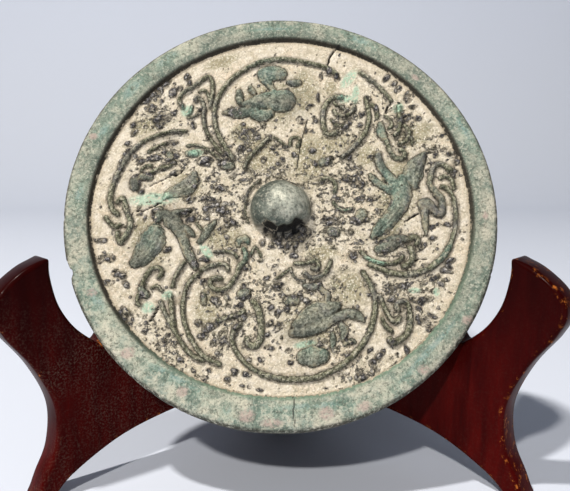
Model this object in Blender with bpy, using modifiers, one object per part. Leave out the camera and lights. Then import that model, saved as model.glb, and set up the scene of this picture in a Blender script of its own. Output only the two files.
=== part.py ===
"""Ancient bronze mirror with birds in scrolling loops, on its stand of two crossed boards.

Metres, +Z up, the front faces -Y. The origin is on the surface the stand rests on,
under the middle of the whole thing.

The mirror is one casting: a disc with a raised flat rim, a pierced knob at its centre
and low relief on the field around it. It leans back in the notches of the stand, on
its own weight. The stand is two equal boards, halved into each other where they cross.
"""

from math import atan2, cos, pi, radians, sin

import bmesh
import bpy
import numpy as np
from mathutils import Matrix

MM = 0.001
GAP = 0.0003                   # clearance wherever two pieces meet

# ---- mirror -----------------------------------------------------------------
DISC_RADIUS = 56.0 * MM
RIM_BAND = 7.5 * MM            # width of the raised rim, edge included
RIM_THICKNESS = 4.5 * MM
EDGE_ROUND = 1.6 * MM          # rounding of the rim's outer corner
FIELD_DEPTH = 1.8 * MM         # the field lies this far below the rim
BACK_BULGE = 0.5 * MM          # the plain reflecting side is slightly convex
KNOB_RADIUS = 8.3 * MM
KNOB_HEIGHT = 7.0 * MM         # above the field
HOLE_RADIUS = 1.8 * MM         # cord hole through the knob
HOLE_TURN = radians(62)        # its direction across the face
TURNED_STEPS = 72
ROOT_DEPTH = 0.35 * MM         # how far the relief is rooted in the field

# ---- stand ------------------------------------------------------------------
BOARD_THICKNESS = 7.5 * MM
PLAN_ANGLE = radians(40)       # each board's angle to the front, seen from above
MIRROR_HEIGHT = 70.0 * MM      # centre of the mirror's front plane above the table
MIRROR_LEAN = radians(24)      # from upright, leaning back
MIRROR_FORWARD = 33.4 * MM     # same centre, in front of the boards' crossing
FRONT_REACH = 87.2 * MM        # from the boards' crossing to the horn's round head
REAR_REACH = 63.5 * MM         # and to the heel of the rear foot
CROSSING_BACK = (FRONT_REACH - REAR_REACH) / 2 * sin(PLAN_ANGLE)   # behind the origin
HALVING_HEIGHT = 34.0 * MM     # the boards' notches meet here

# ---- relief on the field, in mm: X to the right and Y up across the face -----
RIDGE_HEIGHT = 0.95
RING_LENGTH = 30               # a ridge longer than this is one of the rings
RING_STEP = 3.4                # longest straight piece along a ring, and along a curl
CURL_STEP = 2.5
RIDGES = [                     # half width, then the points its centre line passes
    # the five big rings of the scroll
    (0.65, [(-12.7, 14), (-16.8, 22), (-16.8, 31), (-10.5, 39.3), (-1, 43.1), (7, 41.8), (14.5, 39)]),
    (0.65, [(23.5, 31), (23.6, 25), (20.5, 18.3), (16, 14.3)]),
    (0.70, [(41.8, 6), (45, 1.5), (44.8, -4), (42.5, -10.8), (35.5, -16.9), (28.5, -17.4), (22.5, -14.8)]),
    (0.65, [(-9.5, -30.5), (-11.6, -34), (-8, -39.8), (-1, -43.3), (8, -43.2), (18.5, -38), (23.2, -30),
            (23.2, -24), (20, -16.5)]),
    (0.65, [(-18, -17), (-22.3, -19), (-24.3, -24.5), (-22.8, -31.3), (-19.3, -36.8), (-14.7, -39.5)]),
    (0.65, [(-25.2, 21.5), (-32, 20.7), (-38, 17.3), (-42, 11.5), (-43.9, 2), (-41.3, -2.3)]),
    # the lines that run beside them
    (0.50, [(20, -12), (24.5, -14.5), (29.5, -14.5), (31.5, -12.5)]),
    (0.55, [(-30, -24), (-27.3, -29.5), (-22, -37.5), (-17.5, -39.3)]),
    (0.55, [(-24, -14), (-26.7, -20), (-27, -25), (-25.5, -31)]),
    (0.60, [(-24.5, 17.3), (-20, 16.6), (-16.3, 13.5)]),
    (0.60, [(-13.5, 14.5), (-17.5, 18.5), (-20.5, 27), (-21.5, 31), (-22.9, 30.4)]),
    (0.50, [(-9.5, 11), (-6, 16.3), (-3, 19)]),
    # curls between the rings
    (0.60, [(-25.5, 31.4), (-27.3, 29.6), (-25.5, 33.5), (-20, 37.7), (-18.3, 35), (-18.6, 29)]),
    (0.75, [(16.5, 32), (13, 30), (11.6, 25.5), (12.3, 21), (15, 20.2)]),
    (0.55, [(14.5, 27.8), (17, 25.9), (19.8, 27.5)]),
    (0.55, [(21.5, 38.5), (26, 34.8), (29, 31)]),
    (0.60, [(31.7, 29), (31.8, 23.5), (30, 20)]),
    (0.65, [(33, 23), (33.5, 19), (30.5, 17.8)]),
    (0.60, [(28, 19), (29.5, 14.3), (32.5, 13.8), (31.8, 16.6)]),
    (0.60, [(40.5, 12), (39, 8), (41.8, 3.2), (41.5, -1.5)]),
    (0.55, [(40, 10.5), (42.5, 12), (44.7, 9.3)]),
    (0.65, [(31.5, -7.8), (34.6, -7.6), (35, -9.8)]),
    (0.80, [(33, -10.5), (33, -14.2)]),
    (0.70, [(24.8, -23), (26.5, -28), (29.3, -29)]),
    (0.80, [(28.7, -26.8), (29.5, -24.2), (32.2, -26), (31.6, -32.5), (26.8, -34)]),
    (0.55, [(25.3, -29.5), (27.8, -32.2)]),
    (0.60, [(4, -14.5), (9, -13.8), (9.6, -16), (8, -16.4)]),
    (0.60, [(6, -16.5), (9, -18.2), (13, -13.5)]),
    (0.60, [(-20, -17), (-15.5, -14.8), (-13, -16.5)]),
    (0.75, [(-17.5, -18.5), (-17, -21.7), (-13, -21.8), (-10, -15.5), (-8, -12.5), (-10.5, -9)]),
    (0.55, [(-17, -12), (-12.5, -12.3), (-11, -13.5)]),
    (0.65, [(-6.5, -24.5), (-4.4, -30), (-6.6, -35.8), (-8, -33)]),
    (0.75, [(-30.5, -18.8), (-31, -15.8), (-34.4, -20), (-34.8, -25.5)]),
    (0.65, [(-44.8, -2.3), (-42.2, -5.3), (-41, -4.7)]),
    (0.65, [(-41.8, -5.5), (-40.8, -9.7), (-38, -5), (-39.5, -0.5), (-41.4, 2.6)]),
]
LEAVES = [                     # height, half width at the middle, then the points of its midrib
    # bird in the top ring, with the flower over it
    (1.5, 4.2, [(-11, 28.4), (-3, 29.6), (4.6, 30)]),
    (1.1, 1.7, [(-15.6, 27), (-9, 26.8)]),
    (1.1, 1.4, [(-11.2, 34), (-10.4, 29.4)]),
    (1.0, 1.1, [(-8.3, 35.7), (-7.6, 32)]),
    (1.0, 0.8, [(-2, 37), (-2.4, 33.2)]),
    (0.9, 1.4, [(0, 35), (5.8, 36.2)]),
    # bird flying on the right
    (1.4, 3.3, [(33.2, 10), (30.5, 4), (29.5, -1)]),
    (1.2, 2.5, [(38.5, 16.8), (35.8, 11), (31.8, 4.5)]),
    (1.2, 1.3, [(25.8, 15.8), (27.4, 10), (30.5, 5.5)]),
    (1.0, 1.4, [(22.8, 9.8), (28, 4.6)]),
    (1.1, 2.2, [(29.8, 1), (24.6, -7)]),
    (1.2, 1.9, [(33.5, 0.6), (37.5, 0.8), (41.6, 0)]),
    (1.0, 0.9, [(37.4, -0.6), (37.4, -7.8)]),
    # bird in the bottom ring
    (1.5, 3.9, [(1.6, -31.8), (8, -28.8), (15.4, -26.2)]),
    (1.2, 1.5, [(12.5, -26.6), (17.5, -27), (21.4, -29.8)]),
    (1.0, 1.0, [(9.4, -20.4), (12.2, -24.6)]),
    (0.9, 1.6, [(15.2, -29.6), (16, -34.8)]),
    (0.8, 0.9, [(12.6, -32), (13.2, -36.4)]),
    # bird on the left
    (1.2, 3.0, [(-32.6, -3.2), (-33.6, -9), (-37.2, -15.8)]),
    (1.2, 1.2, [(-29.4, -1), (-25.4, -8), (-21.4, -16.2)]),
    (1.1, 2.6, [(-30.6, 2.4), (-25, 6), (-21.6, 8.6)]),
    (1.0, 1.3, [(-25.6, -3.6), (-21.6, -8.2)]),
]
BOSSES = [                     # centre, half length, half width, turn in degrees, height
    (-2.0, 38.6, 4.3, 2.7, 0, 1.2),          # flower over the top bird
    (8.4, -37.0, 4.3, 3.0, 10, 1.2),         # flower under the bottom bird
    (-27.8, -2.4, 2.8, 2.4, -30, 1.4),       # left bird's body
    (-31.2, -1.8, 1.4, 1.9, 0, 1.0),
    (-37.8, 6.8, 1.9, 1.7, 0, 1.1),
    (-31.2, 10.6, 1.9, 1.5, 30, 1.0),
    (-29.5, 13.2, 1.8, 1.5, 0, 0.9),
    (-38.0, 13.2, 1.6, 1.3, 0, 1.0),
    (-23.0, 15.2, 1.9, 1.4, 0, 1.0),
    (-22.8, 3.6, 2.1, 1.6, 60, 1.1),
    (28.8, -9.2, 2.9, 1.9, -15, 1.2),
    (11.6, 12.8, 2.4, 1.4, 20, 1.0),
    (27.2, 20.2, 1.8, 1.5, 0, 1.0),
    (3.6, -23.6, 2.9, 1.4, 0, 1.0),
    (28.4, -21.2, 1.6, 1.3, 30, 0.9),
    (34.6, -24.6, 1.9, 1.3, 20, 1.0),
    (-13.6, 11.6, 2.2, 1.4, 50, 1.0),
    (-28.6, -34.6, 1.6, 1.2, 40, 0.9),
    (20.6, 7.8, 1.8, 1.5, 0, 0.9),
    (-9.6, 23.2, 1.7, 1.2, 30, 0.9),
]

# ---- board outline, in mm: distance from the crossing line, and height --------
# The front half, from the notch's foot over the horn and its rounded head to the sole.
HORN = [(62.1, 36.9), (67.7, 41.6), (71.6, 47.6), (73.4, 54.2), (73.9, 59.8)]
HEAD = [(73.9, 59.8), (79.8, 57.4), (85.8, 52.4), (FRONT_REACH / MM, 47.0), (84.6, 41.6)]
FRONT_WAIST = [(84.6, 41.6), (78.4, 33.2), (73.9, 22.8), (74.4, 12.6), (77.6, 5.4), (79.7, 0)]
FRONT_SOLE = [(79.7, 0), (75.3, 0)]
FRONT_ARCH = [(75.3, 0), (69.7, 4.9), (57, 11.0), (43, 14.2), (30, 15.2), (18, 13.2), (9, 4.6), (7, 1)]
HEEL = [(7, 1), (-7, 1)]
# The rear half and the top, which the mirror hides from the front.
REAR_ARCH = [(-7, 1), (-9, 4.6), (-17, 12.2), (-29, 14.6), (-42, 11.4), (-54, 4.6), (-58.5, 0)]
REAR_SOLE = [(-58.5, 0), (-REAR_REACH / MM, 0)]
REAR_WAIST = [(-REAR_REACH / MM, 0), (-59.6, 7.4), (-47, 17.6), (-30, 28.6), (-12, 43), (2, 59), (10, 74.6)]
CREST = [(10, 74.6), (12.2, 82.6), (17.6, 88.6), (24.4, 88.8), (30.2, 81.6)]
CURVE_STEP = 2.6               # longest straight piece along these curves


def clear_scene():
    for obj in list(bpy.data.objects):
        bpy.data.objects.remove(obj, do_unlink=True)


def new_collection(name):
    group = bpy.data.collections.new(name)
    bpy.context.scene.collection.children.link(group)
    return group


def new_material(name, colour, roughness, metallic):
    mat = bpy.data.materials.new(name)
    mat.use_nodes = True
    shader = mat.node_tree.nodes["Principled BSDF"]
    shader.inputs["Base Color"].default_value = (*colour, 1.0)
    shader.inputs["Roughness"].default_value = roughness
    shader.inputs["Metallic"].default_value = metallic
    return mat


def smooth_line(points, step):
    """A Catmull-Rom curve through the points, cut into pieces no longer than step."""
    pts = [np.array(p, dtype=float) for p in points]
    pts = [2 * pts[0] - pts[1]] + pts + [2 * pts[-1] - pts[-2]]
    line = [pts[1]]
    for a, b, c, d in zip(pts, pts[1:], pts[2:], pts[3:]):
        pieces = max(1, int(np.ceil(np.linalg.norm(c - b) / step)))
        for t in np.arange(1, pieces + 1) / pieces:
            line.append(0.5 * (2 * b + (c - a) * t + (2 * a - 5 * b + 4 * c - d) * t ** 2
                               + (3 * b - a - 3 * c + d) * t ** 3))
    return np.array(line)


# ---- building the relief --------------------------------------------------------

def poly_tube(name, points, radii, cutters):
    """A closed tube of six sides along the points, with its own radius at each."""
    curve = bpy.data.curves.new(name, "CURVE")
    curve.dimensions = "3D"
    curve.bevel_depth = 1.0
    curve.bevel_resolution = 1
    curve.use_fill_caps = True
    spline = curve.splines.new("POLY")
    spline.points.add(len(points) - 1)
    for knot, (x, y), radius in zip(spline.points, points, radii):
        knot.co = (x * MM, y * MM, 0.0, 1.0)
        knot.radius = radius * MM
    guide = bpy.data.objects.new(name, curve)
    cutters.objects.link(guide)
    bpy.context.view_layer.update()
    mesh = bpy.data.meshes.new_from_object(guide.evaluated_get(bpy.context.evaluated_depsgraph_get()))
    solid = mesh_object(name, mesh, cutters)
    solid.matrix_world = guide.matrix_world.copy()
    bpy.data.objects.remove(guide, do_unlink=True)
    return solid


def mesh_object(name, mesh, group):
    """A mesh with its loose caps welded, as an object of the group."""
    bm = bmesh.new()
    bm.from_mesh(mesh)
    bmesh.ops.remove_doubles(bm, verts=bm.verts, dist=1e-6)
    bmesh.ops.recalc_face_normals(bm, faces=bm.faces)
    bm.to_mesh(mesh)
    bm.free()
    obj = bpy.data.objects.new(name, mesh)
    group.objects.link(obj)
    return obj


def hide_cutter(obj):
    obj.hide_render = True
    obj.display_type = "WIRE"
    return obj


def raise_relief(obj, half_width, height, lift):
    """Flattens a round form so that it stands height above the field, rooted in it."""
    flat = (height * MM + ROOT_DEPTH) / (half_width * MM)
    obj.data.transform(Matrix.Translation((0, 0, lift - ROOT_DEPTH)) @ Matrix.Diagonal((1, 1, flat, 1)))
    return hide_cutter(obj)


def make_ridge(index, half_width, points, lift, cutters):
    length = np.linalg.norm(np.diff(points, axis=0), axis=1).sum()
    line = smooth_line(points, RING_STEP if length > RING_LENGTH else CURL_STEP)
    radii = np.full(len(line), half_width)
    radii[[0, -1]] *= 0.6
    tube = poly_tube("ridge_%02d" % index, line, radii, cutters)
    return raise_relief(tube, half_width, RIDGE_HEIGHT, lift)


def make_leaf(index, height, half_width, points, lift, cutters):
    line = smooth_line(points, 2.4)
    along = np.linspace(0, 1, len(line))
    radii = half_width * (0.18 + 0.82 * np.sin(pi * along) ** 0.7)
    tube = poly_tube("leaf_%02d" % index, line, radii, cutters)
    return raise_relief(tube, half_width, height, lift)


def make_boss(index, boss, lift, cutters):
    x, y, half_length, half_width, turn, height = boss
    bm = bmesh.new()
    bmesh.ops.create_uvsphere(bm, u_segments=10, v_segments=6, radius=half_width * MM)
    mesh = bpy.data.meshes.new("boss")
    bm.to_mesh(mesh)
    bm.free()
    mesh.transform(Matrix.Diagonal((half_length / half_width, 1, 1, 1)))
    mesh.transform(Matrix.Rotation(radians(turn), 4, "Z"))
    mesh.transform(Matrix.Translation((x * MM, y * MM, 0)))
    return raise_relief(mesh_object("boss_%02d" % index, mesh, cutters), half_width, height, lift)


# ---- mirror ----------------------------------------------------------------------

def mirror_profile():
    """Radius and height from the knob's top, over the field and rim, to the middle of the
    reflecting side. Height 0 is the rim's flat top."""
    field = -FIELD_DEPTH
    inner = DISC_RADIUS - RIM_BAND
    dome = [(KNOB_RADIUS * 0.93 * sin(a), field + KNOB_HEIGHT * (1 - (1 - cos(a)) * 0.86))
            for a in np.radians([0, 18, 36, 54, 72, 88])]
    shoulder = [(KNOB_RADIUS * 0.97, field + KNOB_HEIGHT * 0.07), (KNOB_RADIUS * 1.06, field)]
    slope = [(inner - 0.6 * MM, field), (inner + 0.5 * MM, -0.2 * MM), (inner + 1.0 * MM, 0.0)]
    corner = DISC_RADIUS - EDGE_ROUND
    edge = [(corner + EDGE_ROUND * sin(a), -EDGE_ROUND * (1 - cos(a))) for a in np.radians([0, 30, 60, 90])]
    back = [(DISC_RADIUS, 0.5 * MM - RIM_THICKNESS), (DISC_RADIUS - 0.5 * MM, -RIM_THICKNESS)]
    bulge = [(DISC_RADIUS * t, -RIM_THICKNESS - BACK_BULGE * (1 - t * t)) for t in (0.66, 0.33, 0.0)]
    return dome + shoulder + slope + edge + back + bulge


def turned_disc(group):
    mesh = bpy.data.meshes.new("bronze_mirror")
    profile = mirror_profile()
    pairs = [(i, i + 1) for i in range(len(profile) - 1)]
    mesh.from_pydata([(r, 0, z) for r, z in profile], pairs, [])
    disc = bpy.data.objects.new("bronze_mirror", mesh)
    group.objects.link(disc)
    screw = disc.modifiers.new("turned", "SCREW")
    screw.steps = TURNED_STEPS
    screw.render_steps = TURNED_STEPS
    screw.use_merge_vertices = True
    screw.merge_threshold = 1e-5
    return disc


def cord_hole(cutters):
    """The straight hole through the knob, close above the field."""
    bm = bmesh.new()
    bmesh.ops.create_cone(bm, cap_ends=True, segments=14, radius1=HOLE_RADIUS, radius2=HOLE_RADIUS,
                          depth=3 * KNOB_RADIUS)
    mesh = bpy.data.meshes.new("cord_hole")
    bm.to_mesh(mesh)
    bm.free()
    mesh.transform(Matrix.Rotation(pi / 2, 4, "Y"))
    mesh.transform(Matrix.Rotation(HOLE_TURN, 4, "Z"))
    mesh.transform(Matrix.Translation((0, 0, HOLE_RADIUS + 0.5 * MM - FIELD_DEPTH)))
    return hide_cutter(mesh_object("cord_hole", mesh, cutters))


def rim_chip(cutters):
    """The chip broken from the rim's outer edge, low on the left."""
    bm = bmesh.new()
    bmesh.ops.create_icosphere(bm, subdivisions=1, radius=1.0)
    mesh = bpy.data.meshes.new("rim_chip")
    bm.to_mesh(mesh)
    bm.free()
    mesh.transform(Matrix.Diagonal((1.7 * MM, 3.0 * MM, 3.6 * MM, 1)))
    mesh.transform(Matrix.Translation((DISC_RADIUS + 0.2 * MM, 0, -2.0 * MM)))
    mesh.transform(Matrix.Rotation(radians(197.5), 4, "Z"))
    return hide_cutter(mesh_object("rim_chip", mesh, cutters))


def boolean(target, operation, name, obj=None, group=None):
    step = target.modifiers.new(name, "BOOLEAN")
    step.operation = operation
    step.solver = "EXACT"
    if group is None:
        step.object = obj
    else:
        step.operand_type = "COLLECTION"
        step.collection = group


def place_mirror(mirror):
    """Stands the disc up, leaning back, with its front plane's centre at its place."""
    mirror.location = (0, CROSSING_BACK - MIRROR_FORWARD, MIRROR_HEIGHT)
    mirror.rotation_euler = (pi / 2 - MIRROR_LEAN, 0, 0)


def make_mirror(group, cutters, material):
    mirror = turned_disc(group)
    relief = new_collection("relief_forms")
    for i, (half_width, points) in enumerate(RIDGES):
        make_ridge(i, half_width, points, -FIELD_DEPTH, relief)
    for i, (height, half_width, points) in enumerate(LEAVES):
        make_leaf(i, height, half_width, points, -FIELD_DEPTH, relief)
    for i, boss in enumerate(BOSSES):
        make_boss(i, boss, -FIELD_DEPTH, relief)
    place_mirror(mirror)
    for cutter in list(relief.objects) + [cord_hole(cutters), rim_chip(cutters)]:
        cutter.location = mirror.location
        cutter.rotation_euler = mirror.rotation_euler
    boolean(mirror, "UNION", "relief", group=relief)
    boolean(mirror, "DIFFERENCE", "cord hole", obj=cutters.objects["cord_hole"])
    boolean(mirror, "DIFFERENCE", "chip", obj=cutters.objects["rim_chip"])
    even = mirror.modifiers.new("even shading", "WEIGHTED_NORMAL")
    even.keep_sharp = True
    mirror.data.materials.append(material)
    return mirror


# ---- stand ------------------------------------------------------------------------

def rest_line():
    """Two ends of the straight edge that backs the mirror, in the board's own plane.

    The board's inner corner, the one nearer the mirror, lies half a thickness in front of
    the board's mid plane. Along it the reflecting side's tangent plane, BACK_BULGE and GAP
    behind the rim's back, is a straight line."""
    behind = RIM_THICKNESS + BACK_BULGE + GAP
    inner_y = MIRROR_FORWARD - BOARD_THICKNESS / 2 / cos(PLAN_ANGLE)
    offset = BOARD_THICKNESS / 2 * sin(PLAN_ANGLE) / cos(PLAN_ANGLE)
    ends = []
    for along in (61.4 * MM, 31.4 * MM):
        y = inner_y - (along - offset) * sin(PLAN_ANGLE)
        z = (y * cos(MIRROR_LEAN) - behind) / sin(MIRROR_LEAN) + MIRROR_HEIGHT
        ends.append((along / MM, z / MM))
    return ends


def board_outline():
    rest = rest_line()
    crest = CREST[:-1] + [rest[1]]
    horn = [rest[0]] + HORN
    outline = []
    for stretch in (horn, HEAD, FRONT_WAIST, FRONT_SOLE, FRONT_ARCH, HEEL, REAR_ARCH, REAR_SOLE,
                    REAR_WAIST, crest):
        outline += smooth_line(stretch, CURVE_STEP)[:-1].tolist() if len(stretch) > 2 else [stretch[0]]
    return outline + [rest[1]]


def board_solid(name, group):
    """The board's outline filled and given its thickness, upright in the XZ plane."""
    curve = bpy.data.curves.new(name, "CURVE")
    curve.dimensions = "2D"
    curve.fill_mode = "BOTH"
    curve.extrude = BOARD_THICKNESS / 2
    outline = board_outline()
    spline = curve.splines.new("POLY")
    spline.points.add(len(outline) - 1)
    spline.use_cyclic_u = True
    for knot, (along, height) in zip(spline.points, outline):
        knot.co = (along * MM, height * MM, 0.0, 1.0)
    guide = bpy.data.objects.new(name, curve)
    group.objects.link(guide)
    bpy.context.view_layer.update()
    mesh = bpy.data.meshes.new_from_object(guide.evaluated_get(bpy.context.evaluated_depsgraph_get()))
    mesh.transform(Matrix.Rotation(pi / 2, 4, "X"))
    bpy.data.objects.remove(guide, do_unlink=True)
    return mesh_object(name, mesh, group)


def halving_cutter(name, side, low, high, cutters):
    """A slab standing where the other board passes, between two heights."""
    bm = bmesh.new()
    bmesh.ops.create_cube(bm, size=1.0)
    mesh = bpy.data.meshes.new(name)
    bm.to_mesh(mesh)
    bm.free()
    mesh.transform(Matrix.Diagonal((60 * MM, BOARD_THICKNESS + 2 * GAP, high - low, 1)))
    slab = mesh_object(name, mesh, cutters)
    slab.location = (0, CROSSING_BACK, (high + low) / 2)
    slab.rotation_euler = (0, 0, board_turn(-side))
    return hide_cutter(slab)


def board_turn(side):
    """Turn about Z that lays a board's +X towards its front foot: side -1 left, +1 right."""
    return atan2(-sin(PLAN_ANGLE), side * cos(PLAN_ANGLE))


def make_board(name, side, slot_low, slot_high, group, cutters, material):
    board = board_solid(name, group)
    board.location = (0, CROSSING_BACK, 0)
    board.rotation_euler = (0, 0, board_turn(side))
    slab = halving_cutter(name + "_halving", side, slot_low, slot_high, cutters)
    boolean(board, "DIFFERENCE", "halving", obj=slab)
    board.data.materials.append(material)
    return board


def main():
    clear_scene()
    group = new_collection("ancient_bronze_mirror")
    cutters = new_collection("cutters")
    bronze = new_material("patinated_bronze", (0.29, 0.33, 0.26), 0.72, 0.25)
    lacquer = new_material("red_lacquered_wood", (0.085, 0.008, 0.007), 0.28, 0.0)
    make_mirror(group, cutters, bronze)
    make_board("stand_board_left", -1, HALVING_HEIGHT - GAP, 0.2, group, cutters, lacquer)
    make_board("stand_board_right", 1, -0.02, HALVING_HEIGHT + GAP, group, cutters, lacquer)
    for obj in group.objects:
        obj.data.shade_smooth()
        obj.data.set_sharp_from_angle(angle=radians(30))


main()
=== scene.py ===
"""Ancient bronze mirror with birds in scrolling rings, on a stand of two crossed boards.

The mirror is one closed surface: a square grid wrapped round the turned profile of the disc,
lifted by the cast relief and by the earth and crust on it. Each board of the stand is a
rounded-edge profile carried round the board's outline, with a flat face on either side.
Shapes are worked out in mm and turned to metres when they are put in their place.
"""

from math import atan2, cos, pi, radians, sin

import bpy
import numpy as np
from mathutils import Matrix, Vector


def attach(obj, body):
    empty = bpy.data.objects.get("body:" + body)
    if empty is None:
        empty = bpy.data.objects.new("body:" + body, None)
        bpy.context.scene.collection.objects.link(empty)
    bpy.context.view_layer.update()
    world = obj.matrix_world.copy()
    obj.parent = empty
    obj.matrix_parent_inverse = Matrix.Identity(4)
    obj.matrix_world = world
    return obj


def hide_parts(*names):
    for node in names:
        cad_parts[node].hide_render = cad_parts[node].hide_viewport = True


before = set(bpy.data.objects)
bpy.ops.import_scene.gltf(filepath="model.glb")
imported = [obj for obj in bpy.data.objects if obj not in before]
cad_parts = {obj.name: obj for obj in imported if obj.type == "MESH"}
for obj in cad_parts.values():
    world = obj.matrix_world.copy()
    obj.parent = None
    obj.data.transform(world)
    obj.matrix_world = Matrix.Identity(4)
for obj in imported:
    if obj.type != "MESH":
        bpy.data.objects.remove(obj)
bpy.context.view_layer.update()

MM = 0.001
GAP = 0.3                      # clearance wherever two pieces meet

# ---- sizes in mm, as the solids have them ------------------------------------
DISC_RADIUS = 56.0
RIM_BAND = 7.5                 # width of the raised rim, edge included
RIM_THICKNESS = 4.5
EDGE_ROUND = 1.6               # rounding of the rim's outer corner
FIELD_DEPTH = 1.8              # the field lies this far below the rim
BACK_BULGE = 0.5               # the reflecting side is slightly convex
KNOB_RADIUS = 8.3
KNOB_HEIGHT = 7.0              # above the field
HOLE_RADIUS = 1.8              # cord hole through the knob
HOLE_TURN = radians(62)        # its direction across the face
HOLE_CENTRE = HOLE_RADIUS + 0.5 - FIELD_DEPTH   # height of its middle, from the rim's top

BOARD_THICKNESS = 7.5
BOARD_EDGE_ROUND = 1.1
PLAN_ANGLE = radians(40)       # each board's angle to the front, seen from above
MIRROR_HEIGHT = 70.0           # centre of the mirror's front plane above the table
MIRROR_LEAN = radians(24)      # from upright, leaning back
MIRROR_FORWARD = 33.4          # same centre, in front of the boards' crossing
FRONT_REACH = 87.2             # from the boards' crossing to the horn's round head
REAR_REACH = 63.5              # and to the heel of the rear foot
CROSSING_BACK = (FRONT_REACH - REAR_REACH) / 2 * sin(PLAN_ANGLE)
HALVING_HEIGHT = 34.0          # the boards' notches meet here
MIRROR_CENTRE = (0.0, CROSSING_BACK - MIRROR_FORWARD, MIRROR_HEIGHT)

# ---- where things fade in or out on the disc: from one radius to another, in mm ----
KNOB_FOOT = 7.9                # the relief starts outside it
KNOB_SKIN = (8.6, 7.4)         # the knob's own bare surface
FIELD_RELIEF = (48.5, 48.1)    # the relief, which ends at the wall
EARTH_BANK = ((47, 48.4), (49.3, 48.8))      # earth heaped against the wall, on either side of it
WALL_SWAY = ((45.5, 48), (53, 50.6))         # how far the wall's sway carries either way
RIM_SKIN = (48.8, 49.3)        # the rim's own surface
RIM_SHOULDER = (51.6, 49.4)    # dirt on the rim's inner shoulder
EDGE_WEAR = (54.6, 55.8)       # nicks in the outer edge
EDGE_GRIME_AND_SHADE = (54.3, 55.6)      # and dirt and painted shade on it
SUNNY_SIDE = radians(-75)      # the part of the wall that faces the daylight
SHADED_SIDE = radians(20)      # and the part of the rim's shoulder that keeps its dirt
CHIP_TURN = radians(197.5)     # where a chip is missing from the outer edge

# what the mesh carries for its material, one number a point
MASKS = ("ornament", "body", "crust", "clump", "sandy", "pit", "crack_and_painted_shade", "wall_foot_and_painted_shade", "sunny", "shoulder",
         "verdigris", "olive", "dark_stain_and_painted_shade", "teal", "rim_teal", "rim_dark", "blush", "hollow_dirt_and_painted_shade", "rim",
         "rim_edge", "knob", "worn", "reverse")
# those that say how far inside an outline a point lies, in mm, and are negative outside it
DISTANCES = ("ornament", "body", "crust", "pit", "wall_foot_and_painted_shade")

# ---- the relief: X to the right and Y up across the mirror's face, in mm ------
RELIEF_SHIFT = (-0.14, 0.58)   # the casting's relief is a little off the disc's centre
RELIEF_SCALE = (1.004, 1.008)
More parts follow.
